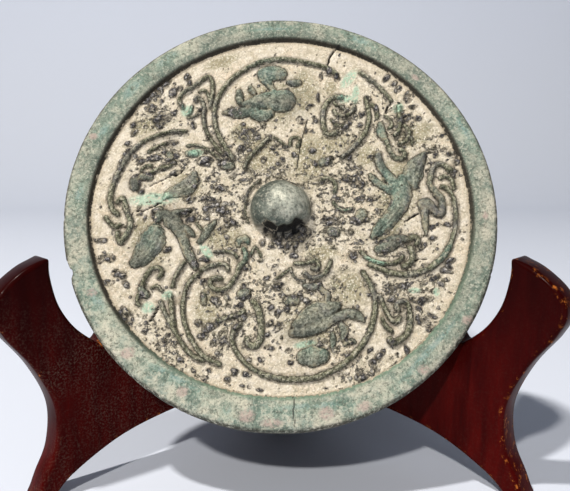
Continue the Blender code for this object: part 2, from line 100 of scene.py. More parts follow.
# the rim's inner wall sways: its radius every 30 degrees from +X
WALL_RADII = (49.4, 49.6, 49.9, 49.7, 48.9, 48.7, 49.4, 48.8, 48.1, 47.7, 48.7, 49.4)
EVEN_WALL = 48.6               # and where the turned profile has it
RIDGE_HEIGHT = 1.25
RIDGES = [                     # half width, then the points its centre line passes
    (0.6, [(-12.4, 13.6), (-14.6, 17), (-16.4, 20.4), (-17.4, 24), (-17.6, 27.4), (-17, 30.6),
           (-15.6, 33.6), (-13.4, 36.6), (-11, 38.7), (-7.6, 41), (-4, 42.4), (0, 42.9), (4, 42.5),
           (8, 41.6), (11, 40.8), (13.4, 39.8), (15.4, 38.2)]),
    (0.55, [(23.2, 31.2), (23.4, 28.6), (23.7, 26), (23.4, 23), (22.2, 20.4), (20.4, 18), (18.4, 15.8),
           (16.2, 14)]),
    (0.55, [(42, 5.8), (43.2, 5.4), (44.4, 3.8), (45, 1.5), (45.1, -2), (44.5, -6), (43.2, -10)]),
    (0.72, [(43.2, -10), (40.6, -13.6), (37, -16.2), (33, -17.4), (29, -17.4), (25.4, -16.2),
           (22.8, -15)]),
    (0.55, [(-9.8, -30.2), (-11.2, -31.6), (-11.6, -33.8), (-10.8, -36.4), (-9, -38.8), (-6.6, -40.8),
           (-4, -42.2)]),
    (0.68, [(-4, -42.2), (0, -43.2), (4.6, -43.4), (9, -42.8), (13, -41.2), (16.6, -38.8),
           (19.6, -35.8)]),
    (0.62, [(19.6, -35.8), (21.8, -32.4), (23, -29), (23.6, -25.6), (23.4, -22.4), (22.2, -19.4),
           (20.8, -17)]),
    (0.52, [(-20.4, -17.4), (-22.2, -19), (-23.4, -21.6), (-24, -25), (-23.7, -28.4), (-22.6, -31.8),
           (-21, -34.8), (-19, -37.4), (-16.8, -38.8), (-14.6, -39.8)]),
    (0.48, [(-25.2, 21.4), (-27.4, 21.4), (-30, 21), (-33, 20), (-35.6, 18.8), (-38, 17)]),
    (0.66, [(-38, 17), (-39.8, 14.6), (-41.4, 11.6), (-42.8, 8), (-43.8, 4.6), (-43.8, 1.6),
           (-43, -0.6), (-41.8, -1.8)]),
    (0.5, [(20.4, -11.6), (22.4, -13.6), (25, -14.6), (28, -14.8), (30, -14), (31, -12.8)]),
    (0.52, [(-29.6, -24.6), (-28.4, -27), (-26.8, -30), (-25, -33), (-23, -36), (-20.8, -38),
           (-18.6, -38.9)]),
    (0.58, [(-27.2, -23), (-26.8, -25.6), (-26.4, -28), (-26, -30.6)]),
    (0.42, [(-24, -14.4), (-25.2, -16.4), (-26.2, -18.4), (-26.8, -20.6)]),
    (0.46, [(-22.6, 30.2), (-22.9, 31), (-22.2, 31.3), (-21, 30.2), (-20.4, 28.2), (-20.5, 26),
           (-20.2, 23.6), (-19.4, 21), (-18.2, 18.8), (-16.6, 16.6), (-15.4, 15)]),
    (0.5, [(-26.2, 28.6), (-27.2, 30), (-26.9, 31.8), (-25.6, 33.2), (-23.8, 34.4), (-22, 35.9),
           (-20.4, 37.2), (-19.4, 37.5), (-18.6, 36.4), (-18.2, 34.2), (-18.3, 31.4), (-18.8, 28.6)]),
    (0.55, [(-9.2, 11.2), (-8.6, 13), (-7.4, 14.8), (-5.8, 16.2), (-4.4, 18), (-3.2, 19.2)]),
    (0.66, [(16.4, 31.6), (14.8, 31.4), (13, 30.2), (11.8, 28), (11.4, 25.4), (11.6, 22.6),
           (12.4, 20.6), (13.8, 20.4), (15, 21.2)]),
    (0.48, [(14.4, 27.4), (15, 26.4), (16.6, 25.8), (18.2, 26.2), (19.4, 27.4), (20, 28.6)]),
    (0.52, [(21.8, 38.8), (24, 37), (26, 35.2), (27.6, 33.4), (29, 31.6), (29.8, 30.4)]),
    (0.55, [(31.8, 28.6), (31.8, 26), (31.9, 23.6), (31.4, 21.4), (30.4, 20.2)]),
    (0.48, [(33.2, 23), (34.2, 21.4), (33.9, 19.6), (32.8, 18.2), (31.4, 17.8)]),
    (0.6, [(27.6, 19.6), (28.4, 17.8), (29, 15.6), (30.2, 13.9), (31.6, 13.5), (32.6, 14.2),
           (32.6, 15.4), (31.8, 16)]),
    (0.72, [(39.6, 5.2), (38.9, 6.6), (39.3, 8.6), (39.9, 10.6), (40.8, 12), (42, 12.2), (43.2, 11.6),
           (44.4, 10.2)]),
    (0.7, [(32.6, -8.4), (34.2, -7.8), (35, -8.6), (34.8, -9.6)]),
    (0.75, [(33, -10.8), (33.5, -12.6), (32.8, -14.4), (31.2, -15.4)]),
    (0.52, [(24.8, -23), (25.6, -25.2), (26.6, -27.6), (27.6, -29.2), (29, -29.4), (29.6, -28.4)]),
    (0.6, [(29.2, -26.6), (28.8, -25.6), (29.4, -24.6), (30.8, -24.3), (31.8, -25.4), (32.1, -27.6)]),
    (0.75, [(32.1, -27.6), (31.9, -30), (31.3, -32.2), (29.6, -33.8), (27.8, -34.7), (26.9, -33.9)]),
    (0.48, [(25.2, -28.8), (26, -30.6), (27.4, -31.8)]),
    (0.52, [(4, -14.8), (6.4, -14.7), (8.8, -14), (9.8, -15), (9.2, -16.3), (8.1, -15.9)]),
    (0.52, [(6.3, -17.2), (7.2, -18), (8.9, -18.4), (10.8, -17.6), (12.1, -16), (12.8, -14.2)]),
    (0.58, [(-9.2, -11), (-8.6, -12.6), (-8.8, -14), (-10, -15.2), (-10.6, -17), (-11.6, -19),
           (-13.2, -21), (-15.2, -21.6), (-17, -20.8), (-17.4, -19.2), (-16, -18.4), (-14.8, -18.7)]),
    (0.42, [(-16.4, -11.8), (-14, -11.6), (-12, -12), (-10.8, -13.2)]),
    (0.52, [(-19.8, -16.4), (-17.4, -15.4), (-15.2, -14.9), (-13.6, -15.2), (-12.9, -16.2)]),
    (0.75, [(-6.6, -24.6), (-5.2, -26.6), (-4.8, -29), (-4.6, -31.6), (-4.8, -33.8), (-6, -35.3),
           (-7.6, -35), (-8, -33.8)]),
    (0.52, [(-34.2, -20.4), (-33.9, -18.8), (-33, -17), (-31.6, -15.9), (-30.2, -16), (-29.6, -17.2),
           (-30.2, -18.4)]),
    (0.45, [(-35, -22.6), (-35.4, -24.2), (-34.8, -25.4)]),
    (0.5, [(-44.6, -2.6), (-43.4, -4.2), (-42, -5.2), (-40.9, -4.7)]),
    (0.62, [(-41.8, 1.6), (-41, 2.6), (-40.2, 1.8), (-39.8, 0.2), (-39, -1.8), (-38.2, -4),
           (-38.6, -6.2), (-39.6, -8), (-40.4, -9.2), (-41.2, -8.4), (-41.4, -6.8)]),
]
CURL_HEIGHT = 0.85
CURLS = [                      # the same for the thin curls between them
    (0.38, [(2.6, 17.4), (2.9, 19.2), (4.4, 19.7), (5.3, 18.5), (4.5, 17.2)]),
    (0.28, [(-1.8, 19.8), (0.4, 18.2), (1.8, 16.7)]),
    (0.5, [(10.4, 7.4), (12, 8.2), (13.6, 7.6), (14.4, 6), (14.1, 4.3)]),
    (0.4, [(13.8, 1.6), (14.8, 0), (16.6, -0.8), (18.2, -0.3)]),
    (0.5, [(41.8, 8.2), (43, 8.7), (44.4, 8), (44.9, 6.6), (45, 5.2)]),
    (0.45, [(28.2, 25.8), (29.4, 24.7), (29.8, 23.2), (29.1, 22.3)]),
    (0.4, [(14.5, 29.9), (15.3, 28.7), (16.6, 28.6), (17.4, 27.5)]),
    (0.4, [(13.8, 24.6), (15, 23.3), (16.6, 23), (17.8, 23.2)]),
    (0.45, [(24.6, 29.3), (25.4, 28.5), (25.9, 26.8), (26, 25.4)]),
    (0.32, [(34.7, 19.6), (34.9, 17.7)]),
    (0.45, [(-31.8, -21), (-30.6, -20.5), (-29.5, -21.6)]),
    (0.32, [(-21.4, -4.1), (-19.8, -5.9), (-18.2, -4.6)]),
    (0.32, [(-7.2, -12.4), (-6.2, -10.5), (-4.8, -12.8)]),
    (0.3, [(2.8, -16.6), (4, -18.6), (6.2, -19.4)]),
    (0.3, [(-0.8, -18.6), (2.8, -16)]),
    (0.38, [(-21.8, 33), (-20.8, 33.5), (-19.7, 32.6), (-19.1, 31.2), (-18.7, 29.6)]),
    (0.3, [(-21.8, 27.6), (-22.2, 26.4), (-23.2, 25.5), (-24.6, 25.2)]),
    (0.36, [(-23.7, 28.8), (-23.9, 27.4), (-24.8, 26.4)]),
    (0.46, [(-34.6, 15.6), (-33.4, 16.5), (-31.8, 17.4), (-30.2, 18)]),
    (0.5, [(-35.6, 8.8), (-33.6, 9.7), (-31.6, 10.9), (-29, 11.5), (-27.6, 12.7)]),
    (0.44, [(-36.3, 10.2), (-35.3, 11.5), (-33.9, 11.7)]),
    (0.36, [(-24.6, 17.3), (-22.8, 17.5), (-20.6, 16.9), (-18.6, 15.8), (-16.8, 14.4), (-15.8, 13.2)]),
    (0.55, [(-15.2, -29.3), (-13, -28.4), (-10.8, -27.9), (-9, -26.8)]),
    (0.3, [(-5.2, 7.6), (-8.1, 4.6), (-9, 0), (-8.2, -3.8)]),
]
BODIES = [                     # height, barbs across it, then points with the half width at each
    (1.3, 0, [(-4.4, 38.4, 1.9), (-3, 38.5, 2.2), (-1.4, 38.6, 2.2), (0, 38.4, 1.8)]),
    (1.0, 0, [(-4, 37, 1.6), (-3, 35.4, 1.0), (-2.4, 34.2, 0.7), (-1.6, 33, 0.8)]),
    (0.9, 0, [(2.4, 36, 0.7), (4, 35.7, 1.0), (5.2, 35.9, 0.6)]),
    (1.5, 0, [(-9.6, 29.2, 0.8), (-7, 29.8, 1.6), (-4, 30.4, 2.4), (-1, 30.4, 3.0), (0.8, 30.4, 3.2)]),
    (1.2, 2, [(-15.2, 26.9, 0.4), (-14, 26.9, 0.7), (-12, 26.9, 1.5), (-9, 27.2, 1.5),
           (-6.6, 27.4, 1.2)]),
    (1.3, 0, [(-7, 26.2, 1.0), (-5, 26, 1.9), (-2.8, 26.6, 1.2)]),
    (1.1, 0, [(-11.2, 33.2, 0.7), (-11, 31.4, 1.0), (-10.8, 30, 0.8)]),
    (0.9, 0, [(-8.2, 34.6, 0.4), (-7.8, 33.6, 0.9), (-7, 32.4, 0.4)]),
    (1.4, 0, [(26, 15, 0.7), (25.8, 13.5, 1.0), (26.6, 11, 1.1), (28, 9, 1.2), (29.6, 6.6, 1.6),
           (31, 4, 2.4)]),
    (1.1, 2, [(23.5, 9, 0.5), (24.6, 7.6, 0.9), (26.4, 6.2, 0.9), (28.4, 5, 1.2)]),
    (1.5, 2, [(38, 15.2, 0.5), (37, 13.6, 1.3), (35.4, 11.4, 2.2), (34.7, 9.2, 2.5), (34.7, 7.4, 2.0),
           (35, 6, 0.9)]),
    (1.3, 0, [(32, 8, 1.2), (31.6, 6, 2.4), (31.4, 3.6, 2.7), (31, 1.2, 2.2)]),
    (1.2, 2, [(31, 0.8, 2.0), (28.6, -2.4, 1.9), (26.6, -4.6, 1.9), (24.6, -6.6, 1.3),
           (23.6, -7.8, 0.6)]),
    (1.3, 0, [(36.8, 1.0, 1.3), (37.8, 1.1, 1.5), (39, 0.2, 1.2), (40.2, -1.4, 0.9), (41.3, -1.5, 0.9),
           (41.8, 0.4, 0.8), (41.6, 2.4, 0.9), (40.8, 3.6, 0.9), (39.6, 5.2, 0.8)]),
    (1.1, 0, [(37.2, -0.4, 1.0), (37.2, -3, 0.8), (37.2, -5, 0.6), (37.3, -7.2, 0.3)]),
    (1.0, 0, [(25, -11, 1.0), (27.4, -10, 1.7), (29.6, -8.7, 1.6), (31.4, -8.3, 1.0)]),
    (0.9, 0, [(20.5, -2.6, 1.2), (21, -1.6, 1.4)]),
    (1.1, 0, [(26.8, 23.4, 0.7), (26.8, 21.4, 1.2), (27.4, 19.8, 0.9)]),
    (1.6, 0, [(4.4, -30.4, 1.4), (6.8, -28.8, 2.4), (9.8, -27.2, 2.8), (12.4, -26.2, 1.9),
           (14, -25.5, 1.1)]),
    (1.2, 0, [(3.2, -32.2, 0.9), (6, -31.5, 1.6), (9.4, -30.6, 1.7), (12, -29.2, 1.4),
           (14.4, -28.2, 1.1), (17, -27.4, 1.2), (19.2, -28, 1.1), (20.6, -29.2, 0.4)]),
    (1.0, 0, [(15, -30, 0.5), (15.8, -31.6, 1.1), (15.4, -33.6, 0.5)]),
    (0.9, 0, [(12.9, -32.4, 0.5), (13, -34.2, 0.7), (12.9, -35.8, 0.4)]),
    (0.8, 0, [(16, -34.9, 0.5), (17.6, -34.2, 0.6), (18.4, -34.6, 0.3)]),
    (1.5, 0, [(6, -38.1, 1.8), (7.6, -38, 2.3), (9, -37.9, 2.3), (10.3, -37.8, 1.8)]),
    (0.9, 0, [(9.8, -20.4, 0.5), (10.6, -21.6, 0.6), (11.8, -22.6, 0.7), (11.8, -24, 0.6)]),
    (0.8, 0, [(6.2, -20.4, 0.5), (8, -20.8, 1.0), (10, -20.2, 0.5)]),
    (1.3, 3, [(-31.9, -6.4, 2.2), (-32.3, -8, 3.3), (-33.4, -10.4, 3.1), (-35, -13, 2.4),
           (-36.6, -14.6, 1.3)]),
    (1.3, 0, [(-29.4, -1.6, 1.0), (-28, -3, 2.2), (-26.4, -5, 1.7), (-25, -7.4, 1.3), (-24, -10, 1.1),
           (-23, -12.4, 1.2), (-21.8, -14.6, 0.9), (-21.2, -16, 0.5)]),
    (1.1, 0, [(-31, -0.4, 0.9), (-31, -2.4, 1.1), (-31.2, -3.6, 0.5)]),
    (0.9, 0, [(-27, -1.6, 1.0), (-24.8, -0.9, 0.7), (-23.2, -0.6, 0.4)]),
    (0.9, 0, [(-24.6, -4.8, 0.4), (-23.4, -6, 0.8), (-22, -7.4, 0.4)]),
    (1.0, 3, [(-30, 2.6, 0.3), (-28.6, 4, 1.2), (-26.4, 4.8, 1.8), (-24.4, 5.6, 2.2), (-23, 7.6, 1.7),
           (-22.4, 9.6, 0.7)]),
    (0.8, 0, [(-20.4, -9, 0.6), (-18.6, -6.6, 0.9), (-16.6, -3.6, 0.4)]),
    (1.1, 0, [(-37.9, 7.6, 1.1), (-37.8, 5.8, 1.1)]),
    (0.9, 0, [(-36, 8.6, 0.9), (-34, 8.4, 0.9)]),
    (1.0, 0, [(-24, 15.2, 0.9), (-22.6, 15, 1.0)]),
    (0.8, 0, [(-29.2, 14.9, 0.8), (-28.8, 14, 0.8)]),
    (0.9, 0, [(-34.6, -21.4, 0.8), (-33.2, -22.8, 0.8)]),
    (0.9, 0, [(-19, -22.8, 0.6), (-18.8, -24.6, 0.7)]),
    (1.0, 0, [(-9.6, -22.6, 1.1), (-8.4, -22.2, 1.0)]),
    (0.8, 0, [(-10.6, -10, 0.5), (-10.4, -8.8, 0.8), (-8.8, -8.2, 0.8), (-8, -9.4, 0.4)]),
    (0.9, 0, [(13, -6.2, 1.0), (14.2, -6.6, 1.1)]),
    (0.9, 0, [(11.2, 12.6, 1.1), (12.6, 13, 1.0)]),
    (1.0, 0, [(2, -24.2, 1.1), (4, -24.2, 1.0)]),
    (0.9, 0, [(-14.4, 11.8, 1.2), (-12.8, 11.6, 1.0)]),
]
CLUMPS = [                     # crusted corrosion: centre, half length, half width, turn in degrees
    (-32, 25.2, 2.6, 1.8, 70), (-35, 27.8, 1.3, 0.6, -30), (-29.1, 32.8, 1.3, 1.1, 40),
    (-36.6, 30.6, 1.8, 0.7, 30), (-33.6, 33, 2.2, 0.8, 50), (-31, 36, 1.6, 0.7, 45),
    (-25.5, 37.6, 1, 0.9, 0), (-24.9, 35.6, 1, 0.7, 60), (-27.4, 34, 0.8, 0.7, 0),
    (-34.4, 28.8, 0.9, 0.6, -20), (-31.2, 28.8, 0.9, 0.5, 20), (-32.4, 30.2, 0.5, 0.7, 0),
    (-39.3, 23.6, 0.8, 1, 0), (-39.1, 21.4, 0.8, 1.2, 0), (-40.2, 18.2, 1.1, 0.8, 60),
    (-40.6, 15, 0.8, 1.4, -10), (-41.8, 12, 0.8, 1.4, -20), (-41.4, 10.2, 1.2, 0.6, 0),
    (-28.5, 18.2, 1.7, 1.3, 10), (-36.7, 13.1, 1, 1, 0), (-33, 13.6, 1.6, 0.7, 10),
    (-30.6, 15.3, 0.8, 0.5, 0), (-28.9, 12.6, 1.3, 1.1, 0), (-24.4, 12.8, 1.2, 1, 0),
    (-27.2, 14.4, 1, 0.7, 30), (-20, 13, 2.2, 0.9, 0), (-14.6, 12, 1.7, 1.4, 40),
    (-22.7, 23.3, 1, 0.9, 60), (-21.5, 27.2, 0.9, 1, 0), (-28, 27.2, 0.9, 0.7, 0),
    (-7, 20.6, 1.7, 1, -30), (-10, 16.4, 1.2, 1, -30), (-37.8, 7.3, 1.2, 1.5, 0),
    (-35, 8.4, 1.4, 0.9, 10), (-36.6, 4.8, 1, 0.5, 0), (-15.9, 5.3, 1.1, 1, 0),
    (-22.4, 7, 2.2, 1.4, 50), (-18.6, 8.2, 0.9, 0.8, 0), (-12.6, 9.4, 1, 0.6, 30),
    (-10, 7.9, 0.9, 0.6, 0), (-12, 26.8, 2.4, 0.9, -8), (-9.4, 23.4, 0.7, 0.6, 0),
    (13, 39.4, 1.8, 0.8, -40), (15.2, 37.6, 1.5, 0.6, -40), (11.4, 38, 0.6, 1.1, -20),
    (5, 24.6, 1, 1.1, 40), (9.2, 24.8, 0.9, 0.7, 0), (7.6, 21.6, 0.8, 0.8, 0),
    (8.2, 28.4, 1.2, 0.6, 50), (10.4, 31.6, 0.5, 1.6, -8), (14.6, 24, 0.7, 0.5, 0),
    (17.4, 23, 1, 0.7, 20), (18.8, 24.6, 0.9, 0.6, 60), (21.2, 23.5, 0.8, 0.6, 30),
    (21.6, 26.4, 0.8, 0.8, 0), (16, 21.4, 0.8, 0.5, 30), (23.4, 30.8, 1, 1.1, 0),
    (26, 27.4, 0.7, 1.7, 10), (33.4, 25.3, 1.8, 0.9, 15), (36.8, 25, 1, 1, 30), (34.2, 31, 0.9, 1.4, 0),
    (35.8, 28.4, 0.8, 0.7, 0), (30.8, 34.8, 0.8, 0.6, 0), (31.6, 33, 0.8, 0.7, 40),
    (28.8, 36.6, 0.6, 0.9, 30), (42.4, 23.6, 1.2, 0.7, -50), (43.4, 16, 0.9, 0.7, 0),
    (44.8, 14.2, 1.3, 0.9, -30), (45.8, 12.2, 0.8, 0.9, 0), (41.2, 15.2, 0.6, 0.7, 0),
    (45.2, 9.6, 0.7, 1.1, 0), (12.6, 12.9, 1.7, 1, 30), (9.6, 12, 1.2, 0.9, 0),
    (18.3, 13.4, 0.6, 1, 10), (18.5, 11, 1.2, 0.8, 0), (21, 11.2, 0.8, 0.7, 0), (20.9, 9, 0.9, 0.8, 0),
    (17.6, 7.9, 1.2, 1, 0), (20.3, 7, 1.4, 1.9, 20), (11.6, 6.4, 0.9, 0.7, 0), (0, 12.8, 1.5, 1, 40),
    (2.2, 11, 0.7, 0.5, 0), (-2, 17, 1.1, 0.9, 0), (-3.4, 20.4, 0.9, 0.7, 0), (8, 16, 1, 0.9, 0),
    (3.6, 14.6, 0.7, 0.6, 0), (-4.6, 13.4, 0.8, 0.6, 30), (-23.6, 2.8, 1.9, 1.3, 0),
    (-19.6, 1.8, 1.2, 0.9, 60), (-17.4, 1.9, 0.9, 1, 0), (-19, -0.8, 1.3, 1.1, 40),
    (-19.2, -2.8, 1, 0.6, 0), (-34.6, -2.6, 0.5, 0.7, 0), (-36.4, -1.3, 0.7, 0.4, 0),
    (-31.3, -1.6, 1.3, 1.7, -10), (-24.9, -3.4, 0.9, 0.6, 0), (-22.4, -2.6, 1.5, 0.5, 60),
    (-24, -1, 1.7, 0.4, 20), (-14.4, -1, 1.6, 1.3, 0), (-12.6, -3.5, 1.7, 1, -30),
    (-14.5, -5.5, 1.6, 0.7, 20), (-16, 1.3, 0.9, 1.1, 0), (-23, -12.4, 1.3, 1, -50),
    (-21.6, -14.6, 1.5, 1, -60), (-19.2, -13.4, 1.4, 0.5, 0), (-28.7, -11.2, 1.3, 0.6, 30),
    (-44.8, -8.6, 1.3, 0.5, -5), (-43.4, -13.4, 1.7, 0.6, 0), (-45.8, -14, 0.7, 0.7, 0),
    (-41.4, -17, 1.2, 1, 0), (-39.4, -17.6, 0.8, 1.1, 0), (-42.8, -19.6, 1.2, 0.5, 0),
    (-38.6, -20.2, 1.2, 0.5, -30), (-38.2, -27.8, 2.8, 0.8, -55), (-34.2, -22.5, 1.3, 0.9, -30),
    (-28.6, -34.6, 1.6, 0.8, 10), (-32.8, -32, 0.8, 0.6, 0), (-27.8, -32.4, 0.8, 0.6, 0),
    (-24.5, -38.3, 0.8, 0.6, 0), (-19.1, -24, 0.8, 1.4, 10), (-15.6, -24.4, 1.5, 1, 0),
    (-12.9, -25.3, 0.8, 0.6, 0), (-18.8, -19.3, 0.8, 0.9, 0), (-9.2, -20.8, 1, 0.6, 30),
    (-8.8, -23, 1.6, 0.9, 0), (-9.8, -25.3, 1, 0.8, 0), (-17.4, -30.7, 2, 1.2, 20),
    (-19, -32.8, 1.4, 0.7, 0), (-19.7, -29.8, 1, 0.7, 0), (-15, -28.8, 1.1, 0.8, 30),
    (-11.4, -28.4, 1.4, 0.6, 20), (-16.2, -34.6, 0.8, 0.8, 0), (-13.9, -34.6, 1, 0.6, 0),
    (-10.6, -31.2, 1.4, 0.7, 40), (-18.3, -43.5, 1.1, 0.5, 10), (-17, -41.2, 0.7, 0.5, 0),
    (-13.1, -43.6, 0.6, 1, 20), (-11.5, -41.8, 1.3, 0.5, 10), (-8.3, -42.3, 1, 0.8, 0),
    (-9.3, -45, 0.6, 0.5, 0), (-7.5, -45.2, 0.6, 0.6, 0), (-4.9, -46.4, 0.9, 0.6, 0),
    (-8.4, -15.4, 0.9, 0.6, 40), (-7, -27.4, 0.7, 0.5, 0), (-9, -28.4, 1.2, 0.6, 30),
    (-4.6, -38.4, 0.9, 0.7, 0), (3.8, -7, 2.6, 0.8, -8), (9.3, -3, 0.8, 1, 0), (13, -3.3, 2, 0.8, 0),
    (16, -3.6, 1, 0.6, 0), (13.6, -6.8, 1.4, 1.1, 0), (12.4, -9, 0.6, 1.1, 20),
    (17.6, -6.6, 1.3, 0.9, 20), (19.6, -3.3, 1.6, 0.6, 0), (22.4, -3, 0.8, 0.7, 0),
    (14.4, 2.2, 1.2, 0.5, 0), (20.6, 2.6, 1.1, 0.6, 20), (24, 3, 1.4, 0.9, 0),
    (18, -12.5, 1.1, 1.3, 20), (15.5, -15.3, 1, 0.8, 0), (13, -17.9, 0.9, 0.9, 0),
    (27.4, -9.6, 2.4, 1.4, 10), (30.8, -8.4, 1.3, 1, 0), (26, -11.6, 1.6, 0.8, 20),
    (38.6, -8.5, 1.2, 0.7, 10), (38.6, -5, 1.4, 0.8, 0), (36, -10.5, 1.5, 0.4, 20),
    (40.8, -4.7, 0.6, 0.6, 0), (42.8, -4.2, 1, 0.5, 0), (41.6, -15.8, 1.5, 0.8, 20),
    (42.9, -14.1, 1.4, 0.7, 30), (39, -18, 1.3, 0.6, 20), (41.6, -18.6, 0.7, 0.6, 0),
    (27.8, -21, 1.3, 1.6, 0), (30.8, -20.7, 1.2, 0.7, -20), (27.8, -24.2, 0.9, 0.6, 0),
    (34.8, -24.4, 1.8, 1, 0), (34.2, -26.7, 0.6, 0.8, 0), (37.3, -28, 0.9, 0.5, 0),
    (35.2, -29.4, 1.8, 0.7, -30), (36.6, -31, 1.3, 0.8, 10), (27.6, -34.4, 1.5, 0.7, 0),
    (24.5, -37.4, 1.3, 1, 30), (21.9, -36.4, 0.6, 0.7, 0), (22.8, -39, 0.9, 0.6, 0),
    (22.9, -41, 1, 0.5, 0), (19.6, -42.8, 1.5, 0.5, -10), (15, -42.3, 1, 0.5, 0),
    (17, -34.2, 1.3, 0.5, 0), (16, -37.3, 1.2, 0.9, 20), (2.4, -24, 2.1, 1, -10),
    (5.5, -24.2, 0.7, 0.8, 0), (-0.5, -20.5, 1.6, 0.8, 0), (8.6, -20.5, 1.7, 0.7, 10),
    (-2.6, -25.6, 0.8, 0.8, 0), (-0.6, -27.4, 0.8, 1, 0), (1.7, -26.8, 0.6, 0.8, 0),
    (-2.6, -29.8, 0.9, 0.7, 0), (-0.3, -31, 1.3, 0.9, 40), (-3, -32.4, 0.9, 0.7, 0),
    (-2.4, -35.8, 1.1, 0.7, 0), (-1.5, -15.7, 1, 0.6, 30), (3, -12.6, 1.2, 0.9, 0),
    (-4.6, -9, 1, 0.9, 30), (-2.3, -10, 0.9, 0.8, 0), (0.6, -10.2, 1.2, 0.9, 0),
    (3.3, -9.7, 1, 0.8, 20), (5.5, -8.6, 1.1, 0.8, 30), (7.5, -7, 0.9, 0.9, 0), (1, -8.4, 3.4, 0.7, -4),
    (6.6, -6.8, 1.4, 1, 20), (-2.9, -18, 0.7, 0.5, 0), (2.7, -39.6, 0.9, 0.6, 0),
    (2, -36.4, 0.9, 0.5, 0), (30.9, -36.2, 0.6, 0.9, 0),
]
# pits in the top of the knob: centre, radius, depth
KNOB_PITS = [(2.1, 4.2, 0.55, 0.3), (0.7, 3.4, 0.6, 0.2), (3.1, 3.2, 0.5, 0.2), (4.6, -1.2, 0.6, 0.15)]
CRACKS = [                     # half width, depth, then the points it runs through
    (0.36, 0.9, [(12.8, 41.2), (13.3, 42.4), (13.9, 44.2), (15.6, 45.2)]),
    (0.42, 0.9, [(29.8, 29.6), (28.9, 28.6), (28.4, 27.2)]),
    (0.22, 0.5, [(4.4, 10.8), (5, 15), (5.9, 19.8), (7.4, 25)]),
    (0.26, 0.7, [(-33.6, 6.2), (-31, 7.4), (-28.6, 8.8), (-26.8, 9.4), (-25.6, 10.2)]),
    (0.28, 0.7, [(-37, -0.9), (-35, -0.7), (-33, 0.4), (-30.8, 1.6)]),
    (0.42, 0.9, [(-30.3, -26.2), (-31, -27.6), (-31.8, -29)]),
    (0.28, 0.7, [(-26.4, -1.7), (-24.4, -1), (-22.6, -0.8)]),
    (0.3, 0.7, [(13, 12.9), (14.2, 13.8), (15.8, 14.2)]),
    (0.3, 0.7, [(34, -14.2), (35.4, -13.6), (37, -13.5)]),
    (0.28, 0.7, [(32, -3.4), (34.2, -2.2), (35.6, -1.4)]),
    (0.2, 0.5, [(3.2, -48.2), (3.6, -50), (3.3, -51.4), (3.6, -53.2)]),
]
